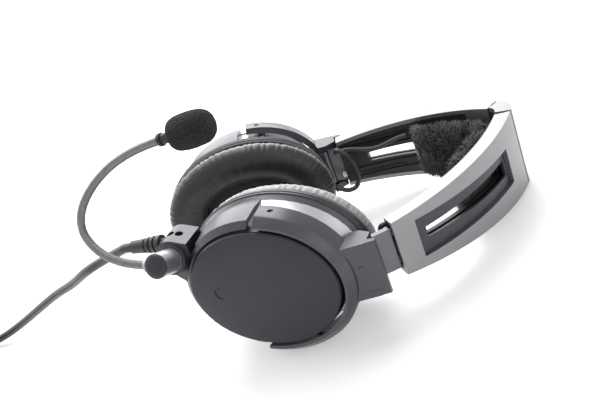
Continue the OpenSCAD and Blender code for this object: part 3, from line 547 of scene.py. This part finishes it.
def finish_nodes():
    """Every CAD node that shows takes its slot's material and smooth shading over its fine facets."""
    slots = {s["node"]: s["material_slot"] for s in frame["record"]["subparts"]}
    group = smooth_by_angle()
    for name, node in frame["nodes"].items():
        for slot in node.material_slots:
            slot.link = "OBJECT"
            slot.material = MATERIALS[slots[name]]
            if name.endswith("_housing"):
                slot.material = TWO_TONE[name[:-len("_housing")]]
            if name.endswith(PINS):
                slot.material = MATERIALS["yoke_graphite"]
        node.modifiers.new("smooth", "NODES").node_group = group


def dress(piece, material, body=None):
    """Gives a piece its material and, unless it is blended, its body."""
    piece.data.materials.clear()
    piece.data.materials.append(MATERIALS[material] if isinstance(material, str) else material)
    if body:
        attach(piece, body)


# ---------------------------------------------------------------- cords

# The routes repeat part.scad's, in millimetres
LEAD_R = 2.5 * MM
TAIL_R = 1.9 * MM
RELIEF_AT = (-50, 13.5, 24.5)
RELIEF_L = 20
LEAD_ROUTE = [
    (-112, 4, 65), (-126, 14, 60), (-144, 38, 48), (-163, 60, 38), (-181, 79, 28),
    (-207, 104, 14), (-226, 117, 6.5), (-242, 124, 3.3),
]
COIL_AT = (-271, 97)
COIL_OUT = 31
COIL_TURNS = 7.25
COIL_LAYERS = 4
COIL_STEP = 5.6
COIL_START = 80
COIL_FLOOR = 2.5
COIL_POINTS = 48
# Straight stretches where the lead leaves the relief, joins the coil and enters the splitter
LEAD_STRAIGHT = 5
COIL_LEAD_IN = 5.5
JOIN_GAP = 0.05
SPLIT_STRAIGHT = 6
ROUTE_STEPS = 8
TAIL_STEPS = 6
TAIL_ROUTE = [(-303, 87, 16), (-304, 77, 10.5), (-304, 68, 6)]
SPLIT_AT = Vector((-303.5, 56, 4.5))
PLUG_ROUTE = [(2.1, 33.5, 4.5), (4, 25, 3.1), (7, 12, 2.1), (8.6, 3, 3.2), (9, -4, 6)]
PLUG_ENDS = [(2.1, 37.95, 4.5), (9, -9, 6)]


def coil_point(t):
    """The coil after t turns: each layer winds inwards or outwards, then climbs onto the one below it."""
    layer_turns = COIL_TURNS / COIL_LAYERS
    k = min(int(t / layer_turns), COIL_LAYERS - 1)
    u = t - k * layer_turns
    r = COIL_OUT - COIL_STEP * (u if k % 2 == 0 else layer_turns - u)
    lift = sum(min(max((t - j * layer_turns) * 2 + 0.5, 0), 1) for j in range(1, COIL_LAYERS))
    a = math.radians(COIL_START + 360 * t)
    x, y = COIL_AT[0] + r * math.cos(a), COIL_AT[1] + r * math.sin(a)
    return Vector((x, y, COIL_FLOOR + COIL_STEP * lift))


def coil_way(t):
    """The way the lead runs after t turns."""
    a = math.radians(COIL_START + 360 * t)
    return Vector((-math.sin(a), math.cos(a), 0))


def lead_path():
    """The main lead from the strain relief, along the floor, round the coil and to the splitter."""
    tip = in_cup("left", (RELIEF_AT[0] - RELIEF_L) * MM, RELIEF_AT[1] * MM, RELIEF_AT[2] * MM) / MM
    way = -cup_axes("left")[1]
    end_way = coil_way(COIL_TURNS)
    entry = coil_point(0) - LEAD_STRAIGHT * coil_way(0)
    leave = coil_point(COIL_TURNS) + LEAD_STRAIGHT * end_way
    route = [tip + way * LEAD_STRAIGHT] + [Vector(p) for p in LEAD_ROUTE]
    route.append(entry - coil_way(0) * COIL_LEAD_IN)
    coil = [coil_point(i / COIL_POINTS) for i in range(int(COIL_TURNS * COIL_POINTS) + 1)]
    tail = [leave + end_way * LEAD_STRAIGHT] + [Vector(p) for p in TAIL_ROUTE]
    tail.append(SPLIT_AT + Vector((0, SPLIT_STRAIGHT, 0)))
    path = [tip + way * JOIN_GAP] + spline(route, ROUTE_STEPS) + [entry] + coil + [leave]
    path += spline(tail, TAIL_STEPS) + [SPLIT_AT + Vector((0, JOIN_GAP, 0))]
    return [p * MM for p in path]


def plug_path(sign):
    """One of the two short leads from the splitter to a plug."""
    route = [Vector(p) for p in PLUG_ROUTE]
    path = [Vector(PLUG_ENDS[0])] + spline(route, ROUTE_STEPS) + [Vector(PLUG_ENDS[1])]
    return [Vector((SPLIT_AT.x + sign * p.x, p.y, p.z)) * MM for p in path]


def add_cords():
    path = lead_path()
    lead = cord_curve("main_lead_cord", path, LEAD_R, MATERIALS["lead_rubber"])
    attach(lead, "left_cup")
    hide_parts("main_lead", "lead_coil", "lead_tail")
    for sign, plug in ((-1, "phone"), (1, "mic")):
        path = plug_path(sign)
        tail = cord_curve(plug + "_plug_cord", path, TAIL_R, MATERIALS["lead_rubber"])
        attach(tail, "left_cup")
        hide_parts("plug_leads")


# ---------------------------------------------------------------- ear cushions

# Half axes of the cushion and of its opening, the depth of its back and its thickness, in millimetres
CUSHION_A = 47.8
CUSHION_B = 35.8
CUSHION_D0 = 29.9
CUSHION_T = 12.8
OPEN_A = 26.0
OPEN_B = 15.2
RING_STEPS = 400
# Distance inwards from the flange's edge, where the opening is at SECTION_REACH, and share of the thickness
SECTION_REACH = 22
SECTION = [
    (3.2, 0.03), (1.2, 0.10), (0.0, 0.22), (-0.3, 0.38), (0.4, 0.55), (2.0, 0.72), (4.6, 0.87), (8.0, 0.96),
    (11.5, 0.99), (15.0, 0.95), (18.2, 0.84), (20.4, 0.68),
    (21.6, 0.48), (21.6, 0.28), (20.6, 0.12), (18, 0.03),
]
# The cover's points beside the flange, which the cloth simulation holds
HELD_POINTS = (0, 1, len(SECTION) - 1, len(SECTION) - 2)
SWELL_PRESSURE = 3.0
SWELL_FRAMES = 20
SWELL_CAP = 0.9 * MM


def cushion_ring(side):
    """Closed quad ring, with UVs that run round it and round its section."""
    wide_a = (CUSHION_A - OPEN_A) / SECTION_REACH
    wide_b = (CUSHION_B - OPEN_B) / SECTION_REACH
    count = len(SECTION)
    verts = []
    for i in range(RING_STEPS):
        t = 2 * math.pi * i / RING_STEPS
        for inset, rise in SECTION:
            a = (CUSHION_A - inset * wide_a) * math.cos(t)
            b = (CUSHION_B - inset * wide_b) * math.sin(t)
            verts.append(in_cup(side, a * MM, (CUSHION_D0 + rise * CUSHION_T) * MM, b * MM))
    faces = band(RING_STEPS, count, ring=True)
    if side == "right":
        faces = [face[::-1] for face in faces]
    piece = new_mesh(side + "_cushion_cover", verts, faces)
    layer = piece.data.uv_layers.new(name="ring")
    for polygon in piece.data.polygons:
        corners = [piece.data.loops[i].vertex_index for i in polygon.loop_indices]
        last = max(v // count for v in corners)
        for loop, v in zip(polygon.loop_indices, corners):
            i = v // count
            turn = 1.0 if last == RING_STEPS - 1 and i == 0 else i / RING_STEPS
            layer.data[loop].uv = (turn, (v % count) / count)
    return piece


def swell(piece, held):
    """Blender's cloth swells the cover with some points held, and the movement is capped and applied."""
    start = [v.co.copy() for v in piece.data.vertices]
    group = piece.vertex_groups.new(name="held")
    group.add(held, 1.0, "REPLACE")
    cloth = piece.modifiers.new("cloth", "CLOTH")
    cloth.settings.use_pressure = True
    cloth.settings.uniform_pressure_force = SWELL_PRESSURE
    cloth.settings.effector_weights.gravity = 0
    cloth.settings.vertex_group_mass = "held"
    cloth.settings.tension_stiffness = 40
    cloth.settings.bending_stiffness = 0.05
    cloth.settings.mass = 0.15
    cloth.point_cache.frame_start = 1
    cloth.point_cache.frame_end = SWELL_FRAMES
    scene = bpy.context.scene
    for number in range(1, SWELL_FRAMES + 1):
        scene.frame_set(number)
        bpy.context.view_layer.update()
    shape = piece.evaluated_get(bpy.context.evaluated_depsgraph_get()).to_mesh()
    moved = [v.co.copy() for v in shape.vertices]
    piece.modifiers.remove(cloth)
    piece.vertex_groups.remove(group)
    for vertex, old, new in zip(piece.data.vertices, start, moved):
        step = new - old
        if step.length > SWELL_CAP:
            step *= SWELL_CAP / step.length
        vertex.co = old + step
    scene.frame_set(1)


# Folds round the cushion, and their depth in millimetres at each point of the section
GATHERS = 82
GATHER_DEPTH = [0.1, 0.5, 0.75, 0.75, 0.55, 0.3, 0.12, 0.06, 0.05, 0.06, 0.1, 0.16, 0.25, 0.25, 0.15, 0.05]
BROAD_WAVE = 0.12


def gather(turn, k):
    """How far the cover stands out at an angle round the ring and at point k of its section."""
    place = Vector((math.cos(turn), math.sin(turn), 0))
    drift = 5 * noise.noise(place * 3) + 1.6 * noise.noise(place * 11)
    depth = 0.75 + 0.9 * noise.noise(place * 7 + Vector((0, 0, 4)))
    fold = abs(math.sin(GATHERS / 2 * turn + drift + 0.12 * k)) - 0.6
    broad = noise.noise(place * 9 + Vector((0, 0, k * 0.12)))
    return GATHER_DEPTH[k] * depth * fold + BROAD_WAVE * broad


def add_cushion(side):
    """Ear cushion: a swelled cover with gathered sides."""
    piece = cushion_ring(side)
    count = len(SECTION)
    swell(piece, [i * count + k for i in range(RING_STEPS) for k in HELD_POINTS])
    origin, along, _, front = cup_axes(side)
    for vertex in piece.data.vertices:
        local = vertex.co - origin
        turn = math.atan2(local.dot(front) / CUSHION_B, local.dot(along) / CUSHION_A)
        vertex.co += vertex.normal * MM * gather(turn, vertex.index % count)
    smooth = piece.modifiers.new("smooth", "SUBSURF")
    smooth.levels = smooth.render_levels = 1
    # The near cushion takes the lit copy, whose painted highlight reaches higher
    dress(piece, LEATHER_NEAR_HIGHLIT if side == "left" else "cushion_leather", side + "_cup")
    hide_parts(side + "_cushion")


# Half axes, depth, radius and steps of the piping
PIPING_A = CUSHION_A - 0.5
PIPING_B = CUSHION_B + 0.1
PIPING_D = CUSHION_D0 + 0.5
PIPING_R = 0.55 * MM
PIPING_STEPS = 96


def add_seam(side):
    """Piping where the cushion's cover is drawn over the flange."""
    path = []
    for i in range(PIPING_STEPS + 1):
        t = 2 * math.pi * i / PIPING_STEPS
        path.append(in_cup(side, PIPING_A * MM * math.cos(t), PIPING_D * MM, PIPING_B * MM * math.sin(t)))
    piece = tube(side + "_cushion_piping", path, PIPING_R, 8, False)
    dress(piece, LINING, side + "_cup")


SCRIM_RINGS = 14
SCRIM_STEPS = 64
SCRIM_LAP = 1.2
SCRIM_D = 29.3
SCRIM_DOME = 1.6
SCRIM_WAVE = 0.12


def add_scrim(side):
    """Domed cloth over the loudspeaker, inside the cushion."""
    verts = []
    for i in range(SCRIM_RINGS + 1):
        t = i / SCRIM_RINGS
        for k in range(SCRIM_STEPS):
            turn = 2 * math.pi * k / SCRIM_STEPS
            a = (OPEN_A + SCRIM_LAP) * t * math.cos(turn)
            b = (OPEN_B + SCRIM_LAP) * t * math.sin(turn)
            wave = SCRIM_WAVE * noise.noise(Vector((a * 0.25, b * 0.25, 3)))
            depth = SCRIM_D + SCRIM_DOME * (1 - t ** 4) + wave
            verts.append(in_cup(side, a * MM, depth * MM, b * MM))
    piece = new_mesh(side + "_scrim_cloth", verts, inside_out(band(SCRIM_RINGS, SCRIM_STEPS)))
    dress(piece, "scrim_cloth", side + "_cup")
    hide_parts(side + "_scrim")


# ---------------------------------------------------------------- thin lead between arm and cup

# The lead's radius, its place on the arm's arc with the bow that it takes there, and the loops' routes
CROSS_R = 1.3 * MM
CROSS_SIDES = 14
ARM_LEAD_R = 108.15
ARM_LEAD_Z = 9.2
ARM_LEAD_FROM = 59.5
ARM_LEAD_END = 80.1
ARM_LEAD_POINTS = 8
BOW_IN = 2
BOW_DOWN = 3
LOOPS = {
    "left": [(58.8, -50.3, 6), (58.6, -50.6, -1), (57, -51.3, -7.5)],
    "right": [(59.3, -49.6, 11), (60.5, -46.5, 12), (64, -45, 8), (66.3, -44.5, 1), (66.5, -44, -6),
              (63.5, -43.5, -11), (58.5, -43.7, -11.5)],
}
# Where the loop enters the cup: on the flange's edge, of half axes FLANGE_A and FLANGE_B
FLANGE_A = 47.8
FLANGE_B = 37
ENTRY_B = -9
LOOP_ENTRY = (FLANGE_A * math.sqrt(1 - (ENTRY_B / FLANGE_B) ** 2), 27.6, ENTRY_B)
# Shares of the loop's length where its three stretches meet, chosen to keep it clear of the arm and slider
LOOP_SPLITS = {"left": (1 / 3, 2 / 3), "right": (0.15, 0.85)}
LOOP_STEPS = 12


def add_arm_lead(side):
    """The thin lead where it lies open in the arm."""
    span = ARM_LEAD_END - ARM_LEAD_FROM
    route = []
    for i in range(ARM_LEAD_POINTS + 1):
        bow = math.sin(math.pi * i / ARM_LEAD_POINTS) ** 2
        degrees = ARM_LEAD_FROM + i / ARM_LEAD_POINTS * span
        route.append(on_arc(ARM_LEAD_R - BOW_IN * bow, degrees, ARM_LEAD_Z - BOW_DOWN * bow))
    path = spline([lie(p, side) for p in route], ROUTE_STEPS)
    piece = tube(side + "_arm_lead_cord", path, CROSS_R, CROSS_SIDES)
    dress(piece, "lead_rubber", side + "_arm")
    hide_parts(side + "_arm_lead")


def add_lead_loop(side):
    """The loop in three stretches, each bending across one of the joints between the arm and the cup."""
    a, depth, b = LOOP_ENTRY
    route = [lie(on_arc(ARM_LEAD_R, ARM_LEAD_END + k, ARM_LEAD_Z), side) for k in (0.25, 1.4)]
    route += [lie(Vector(p), side) for p in LOOPS[side]]
    route += [in_cup(side, (a + k) * MM, depth * MM, b * MM) for k in (2.8, 0.5)]
    path = spline(route, LOOP_STEPS)
    splits = [path_length(path) * share for share in LOOP_SPLITS[side]]
    parts = [[path[0]]]
    run = 0.0
    for p, q in zip(path, path[1:]):
        run += (q - p).length
        parts[-1].append(q)
        if splits and run > splits[0]:
            splits.pop(0)
            parts.append([q])
    for i, part in enumerate(parts):
        piece = tube("%s_lead_loop_%d" % (side, i + 1), part, CROSS_R, CROSS_SIDES)
        dress(piece, "lead_rubber")
        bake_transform(piece)
        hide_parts(side + "_lead_loop")


# ---------------------------------------------------------------- sheepskin head pad

# Thickness, half height and lower end of the pad, and the radius and the crown's point that its back lies on
PAD_T = 16
PAD_H = 15.5
PAD_END = 58
PAD_BACK = INNER_R - 1.4
CROWN_INSIDE = CROWN_CX + CROWN_R - 8.6
# The first share of the half pad rounds the crown, up to PAD_FIRST degrees on the arm
CROWN_SHARE = 0.25
PAD_FIRST = SEAM + 6
ROUND_PULL = 14
# The core's share of the thickness, and how deep the body and the tufts' roots lie under the pad's outline
PAD_CORE = 0.45
PAD_SINK = 2.2
TUFT_SINK = 2.6
PAD_LENGTHS = 44
PAD_RINGS = 32
TUFTS = 5200
TUFT_SIDES = 3
TUFT_TAPER = (1.0, 0.85, 0.55)
TUFT_LENGTH = (2.6, 5.0)
TUFT_WIDTH = (0.28, 0.5)
# Seeds of the random tufts of each half of the pad
PAD_SEEDS = {"left": 7, "right": 11}
# Blender's vector noise, which makes the tufts' swirl, takes its offsets from the clock unless it is seeded
SWIRL_SEED = 3


def towards_head(degrees):
    """The way from a point of the arm's arc to the arc's middle."""
    a = math.radians(degrees)
    return Vector((-math.cos(a), math.sin(a), 0))


def pad_station(u):
    """Middle of the pad's back and its inward direction, from the crown at 0 to the lower end at 1."""
    if u >= CROWN_SHARE:
        degrees = PAD_FIRST + (PAD_END - PAD_FIRST) * (u - CROWN_SHARE) / (1 - CROWN_SHARE)
        return on_arc(PAD_BACK, degrees, 0), towards_head(degrees)
    # a smooth round from the crown's middle to the first point on the arm
    t = u / CROWN_SHARE
    edge = towards_head(PAD_FIRST)
    start_pull = Vector((0, -ROUND_PULL, 0))
    end_pull = Vector((edge.y, -edge.x, 0)) * ROUND_PULL
    point = ((2 * t ** 3 - 3 * t ** 2 + 1) * Vector((CROWN_INSIDE, 0, 0))
             + (t ** 3 - 2 * t ** 2 + t) * start_pull
             + (3 * t ** 2 - 2 * t ** 3) * on_arc(PAD_BACK, PAD_FIRST, 0)
             + (t ** 3 - t ** 2) * end_pull)
    return point, Vector((-1, 0, 0)).lerp(edge, t).normalized()


def pad_point(u, turn, grow):
    """A point of the pad's rounded outline, grown or sunk: u along the half, turn round its section."""
    back, inward = pad_station(u)
    taper = 0.18 + 0.82 * math.sqrt(max(1 - u ** 4, 0))
    rise = (1 - math.cos(turn)) / 2
    width = abs(math.sin(turn)) ** 0.8 * math.copysign(1, math.sin(turn))
    height = (PAD_H * (0.75 + 0.25 * taper) + grow) * width
    return back + inward * (PAD_T * taper * rise + grow * rise) + Vector((0, 0, height))


def pad_out(u, point):
    """The way out of the pad's core at a point."""
    back, inward = pad_station(u)
    return (point - (back + inward * PAD_T * PAD_CORE)).normalized()


def add_pad(side):
    """Half of the pad: a lumpy fleece body with curved tufts, bending between the crown and the arm."""
    noise.seed_set(SWIRL_SEED)
    rng = random.Random(PAD_SEEDS[side])
    verts = []
    for i in range(PAD_LENGTHS + 1):
        for k in range(PAD_RINGS):
            p = pad_point(i / PAD_LENGTHS, 2 * math.pi * k / PAD_RINGS, -PAD_SINK)
            lump = noise.noise(p * 0.14) * 1.4 + noise.noise(p * 0.42 + Vector((5, 0, 0))) * 0.8
            verts.append(p + pad_out(i / PAD_LENGTHS, p) * lump)
    faces = band(PAD_LENGTHS, PAD_RINGS)
    faces.append(tuple(range(PAD_LENGTHS * PAD_RINGS, (PAD_LENGTHS + 1) * PAD_RINGS)))
    for _ in range(TUFTS):
        u = rng.random() ** 0.9
        turn = rng.uniform(0, 2 * math.pi)
        # none on the back, which lies on the band
        if math.cos(turn) <= 0.75:
            add_tuft(verts, faces, u * 0.985, turn, rng)
    verts = [lie(v, side) for v in verts]
    if side == "left":
        faces = [f[::-1] for f in faces]
    piece = new_mesh(side + "_pad_fleece", verts, faces)
    dress(piece, "sheepskin")
    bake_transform(piece)
    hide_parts("head_pad")


def add_tuft(verts, faces, u, turn, rng):
    """A curved tapering lock of three sides."""
    root = pad_point(u, turn, -TUFT_SINK)
    out = pad_out(u, root)
    flow = Vector((rng.uniform(-1, 1), rng.uniform(-1, 1), rng.uniform(-1, 1)))
    swirl = noise.noise_vector(root * 0.09) * 2.2
    lean = (out * 0.9 + flow * 0.5 + swirl * 0.55).normalized()
    length = rng.uniform(*TUFT_LENGTH)
    width = rng.uniform(*TUFT_WIDTH)
    side_way = lean.cross(out)
    if side_way.length < 1e-3:
        side_way = out.orthogonal()
    side_way.normalize()
    base = len(verts)
    p = root.copy()
    way = out.lerp(lean, 0.5).normalized()
    curl = rng.uniform(-0.5, 0.5)
    for taper in TUFT_TAPER:
        up = way.cross(side_way).normalized()
        for k in range(TUFT_SIDES):
            t = 2 * math.pi * k / TUFT_SIDES
            verts.append(p + (side_way * math.cos(t) + up * math.sin(t)) * width * taper)
        p = p + way * length / len(TUFT_TAPER)
        way = (way.lerp(lean, 0.5) + side_way * curl).normalized()
    tip = len(verts)
    verts.append(p)
    faces += [tuple(base + v for v in face) for face in band(len(TUFT_TAPER) - 1, TUFT_SIDES)]
    last = tip - TUFT_SIDES
    faces += [(last + k, last + (k + 1) % TUFT_SIDES, tip) for k in range(TUFT_SIDES)]


# ---------------------------------------------------------------- boom

NECK_ROUTE = [
    (-9.8, 0.7), (-15.7, 1.6), (-23.1, 3.6), (-31.4, 7.6), (-37.7, 13.3), (-41.4, 20.2), (-41, 27.5),
    (-37, 34.6), (-29.7, 41.7), (-19.8, 48), (-9.5, 52.2), (1.2, 54.9), (12, 56.5),
]
NECK_Z = 9
NECK_R = 2.15
NECK_WINDS = 150
NECK_STEPS = 90
NECK_SIDES = 16
WIND_RINGS = 6
RIB_DEPTH = 0.14
FOAM_L = 22
FOAM_START = 7
FOAM_STEPS = 72
FOAM_FINE = 4
# Share of the foam's length, and radius
FOAM_OUTLINE = [
    (0.0, 3.0), (0.0, 4.2), (0.02, 5.6), (0.05, 6.7), (0.10, 7.5), (0.17, 7.95), (0.27, 8.25), (0.4, 8.4),
    (0.55, 8.4), (0.68, 8.2), (0.8, 7.75), (0.89, 6.9), (0.95, 5.7), (0.985, 4.0), (1.0, 1.8),
]
STEM_AT = (12.3, 56.55, 9)
STEM_TURN = math.radians(6)


def add_gooseneck():
    """Wound steel tube: a fine spiral rib over the neck's curve."""
    path = spline([on_knob(x * MM, y * MM, NECK_Z * MM) for x, y in NECK_ROUTE], NECK_STEPS)
    lengths = [0.0]
    for a, b in zip(path, path[1:]):
        lengths.append(lengths[-1] + (b - a).length)
    # points at equal distances, WIND_RINGS of them to a wind
    rings = NECK_WINDS * WIND_RINGS
    points = []
    at = 0
    for i in range(rings + 1):
        goal = lengths[-1] * i / rings
        while at < len(path) - 2 and lengths[at + 1] < goal:
            at += 1
        t = (goal - lengths[at]) / max(lengths[at + 1] - lengths[at], 1e-9)
        points.append(path[at].lerp(path[at + 1], min(t, 1)))
    piece = tube("gooseneck_wound", points, NECK_R * MM, NECK_SIDES)
    # the spiral rib: the radius follows the angle as it runs along the neck
    for i, p in enumerate(points):
        for k in range(NECK_SIDES):
            vertex = piece.data.vertices[i * NECK_SIDES + k]
            phase = (i / WIND_RINGS - k / NECK_SIDES) % 1
            depth = RIB_DEPTH * (1 - abs(math.sin(math.pi * phase))) ** 1.5
            vertex.co = p + (vertex.co - p) * (1 - depth)
    dress(piece, "neck_steel", "boom")
    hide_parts("gooseneck")


def on_stem(z, r, turn):
    """A point round the microphone's stem."""
    axis = Vector((math.cos(STEM_TURN), math.sin(STEM_TURN), 0))
    side = Vector((-math.sin(STEM_TURN), math.cos(STEM_TURN), 0))
    p = Vector(STEM_AT) + axis * z + side * r * math.cos(turn) + Vector((0, 0, r * math.sin(turn)))
    return on_knob(p.x * MM, p.y * MM, p.z * MM)


def add_windscreen():
    """Foam ball with a slightly lumpy, pitted skin."""
    outline = [(share * FOAM_L + FOAM_START, r) for share, r in FOAM_OUTLINE]
    fine = []
    for (z0, r0), (z1, r1) in zip(outline, outline[1:]):
        fine += [(z0 + (z1 - z0) * k / FOAM_FINE, r0 + (r1 - r0) * k / FOAM_FINE) for k in range(FOAM_FINE)]
    fine.append(outline[-1])
    verts = []
    for z, r in fine:
        for k in range(FOAM_STEPS):
            turn = 2 * math.pi * k / FOAM_STEPS
            p = Vector((z * 0.9, r * math.cos(turn), r * math.sin(turn)))
            lump = 0.12 * noise.noise(p * 0.35) + 0.1 * noise.noise(p * 1.6) + 0.07 * noise.noise(p * 3.1)
            verts.append(on_stem(z, r + lump, turn))
    faces = inside_out(band(len(fine) - 1, FOAM_STEPS))
    faces.append(tuple(range(FOAM_STEPS)))
    faces.append(tuple(range(len(verts) - 1, len(verts) - FOAM_STEPS - 1, -1)))
    piece = new_mesh("windscreen_foam", verts, faces)
    dress(piece, "foam", "boom")
    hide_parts("windscreen")


# ---------------------------------------------------------------- floor and light

FLOOR_HALF = 4.0
# The floor's own light for the rays that see it, near the object and from NEAR to FAR metres away
FLOOR_LIFT = 0.42
FAR_LIFT = 0.85
NEAR = 0.35
FAR = 1.6
WORLD_LEVEL = 0.35
# Name, place, target, size and power of each lamp
LAMPS = [
    ("key", (0.05, 0.45, 0.95), (0, 0, 0.04), 0.8, 9.0),
    ("back", (0.1, 1.05, 0.55), (0, 0, 0.05), 0.9, 6.0),
    ("fill", (0.55, -0.7, 0.5), (0, 0, 0.04), 0.6, 0.8),
    ("rim", (-0.6, 0.55, 0.5), (0, 0, 0.06), 0.5, 2.5),
]


def any_ray(tree):
    """1 for the rays that show the background: camera, glossy and transmission."""
    path = tree.nodes.new("ShaderNodeLightPath")
    first = tree.nodes.new("ShaderNodeMath")
    second = tree.nodes.new("ShaderNodeMath")
    first.operation = second.operation = "MAXIMUM"
    tree.links.new(path.outputs["Is Camera Ray"], first.inputs[0])
    tree.links.new(path.outputs["Is Glossy Ray"], first.inputs[1])
    tree.links.new(first.outputs[0], second.inputs[0])
    tree.links.new(path.outputs["Is Transmission Ray"], second.inputs[1])
    return second


def add_floor():
    """Plain pale floor, white where the camera sees it far away, that keeps the object's shadow."""
    corners = [(-1, -1), (1, -1), (1, 1), (-1, 1)]
    corners = [(x * FLOOR_HALF, y * FLOOR_HALF, 0) for x, y in corners]
    floor = new_mesh("floor", corners, [(0, 1, 2, 3)], False)
    n = Nodes("floor")
    sweep = n.noise(3.0, 2.0)
    n.link(n.ramp(sweep, "Fac", (0.86, 0.86, 0.865), (0.88, 0.88, 0.885)), "Color", n.shader, "Base Color")
    n.shader.inputs["Roughness"].default_value = 0.6
    n.shader.inputs["Specular IOR Level"].default_value = 0.2
    n.shader.inputs["Emission Color"].default_value = (1, 1, 1, 1)
    coords = n.add("ShaderNodeTexCoord")
    away = n.add("ShaderNodeVectorMath")
    away.operation = "LENGTH"
    n.link(coords, "Object", away, 0)
    level = n.add("ShaderNodeMapRange", From_Min=NEAR, From_Max=FAR, To_Min=FLOOR_LIFT, To_Max=FAR_LIFT)
    n.link(away, "Value", level, "Value")
    lift = n.math("MULTIPLY", level, "Result", other=any_ray(n.tree))
    n.link(lift, "Value", n.shader, "Emission Strength")
    floor.data.materials.append(n.material)


def add_world():
    """White where it is seen, and softer where it only lights."""
    world = bpy.data.worlds.new("studio")
    world.use_nodes = True
    tree = world.node_tree
    back = tree.nodes["Background"]
    back.inputs["Color"].default_value = (1, 1, 1, 1)
    level = tree.nodes.new("ShaderNodeMapRange")
    level.inputs["To Min"].default_value = WORLD_LEVEL
    tree.links.new(any_ray(tree).outputs[0], level.inputs["Value"])
    tree.links.new(level.outputs["Result"], back.inputs["Strength"])
    bpy.context.scene.world = world


def add_light(name, place, target, size, power):
    """Square lamp that faces its target."""
    light = bpy.data.lights.new(name, "AREA")
    light.size = size
    light.energy = power
    lamp = bpy.data.objects.new(name, light)
    lamp.location = place
    lamp.rotation_euler = (Vector(target) - Vector(place)).to_track_quat("-Z", "Y").to_euler()
    bpy.context.collection.objects.link(lamp)


# ---------------------------------------------------------------- the scene

bpy.context.scene.view_settings.view_transform = "Standard"
add_camera()
add_floor()
add_world()
for lamp in LAMPS:
    add_light(*lamp)
finish_nodes()
add_cords()
for side in SIDES:
    add_cushion(side)
    add_seam(side)
    add_scrim(side)
    add_arm_lead(side)
    add_lead_loop(side)
    add_pad(side)
add_gooseneck()
add_windscreen()
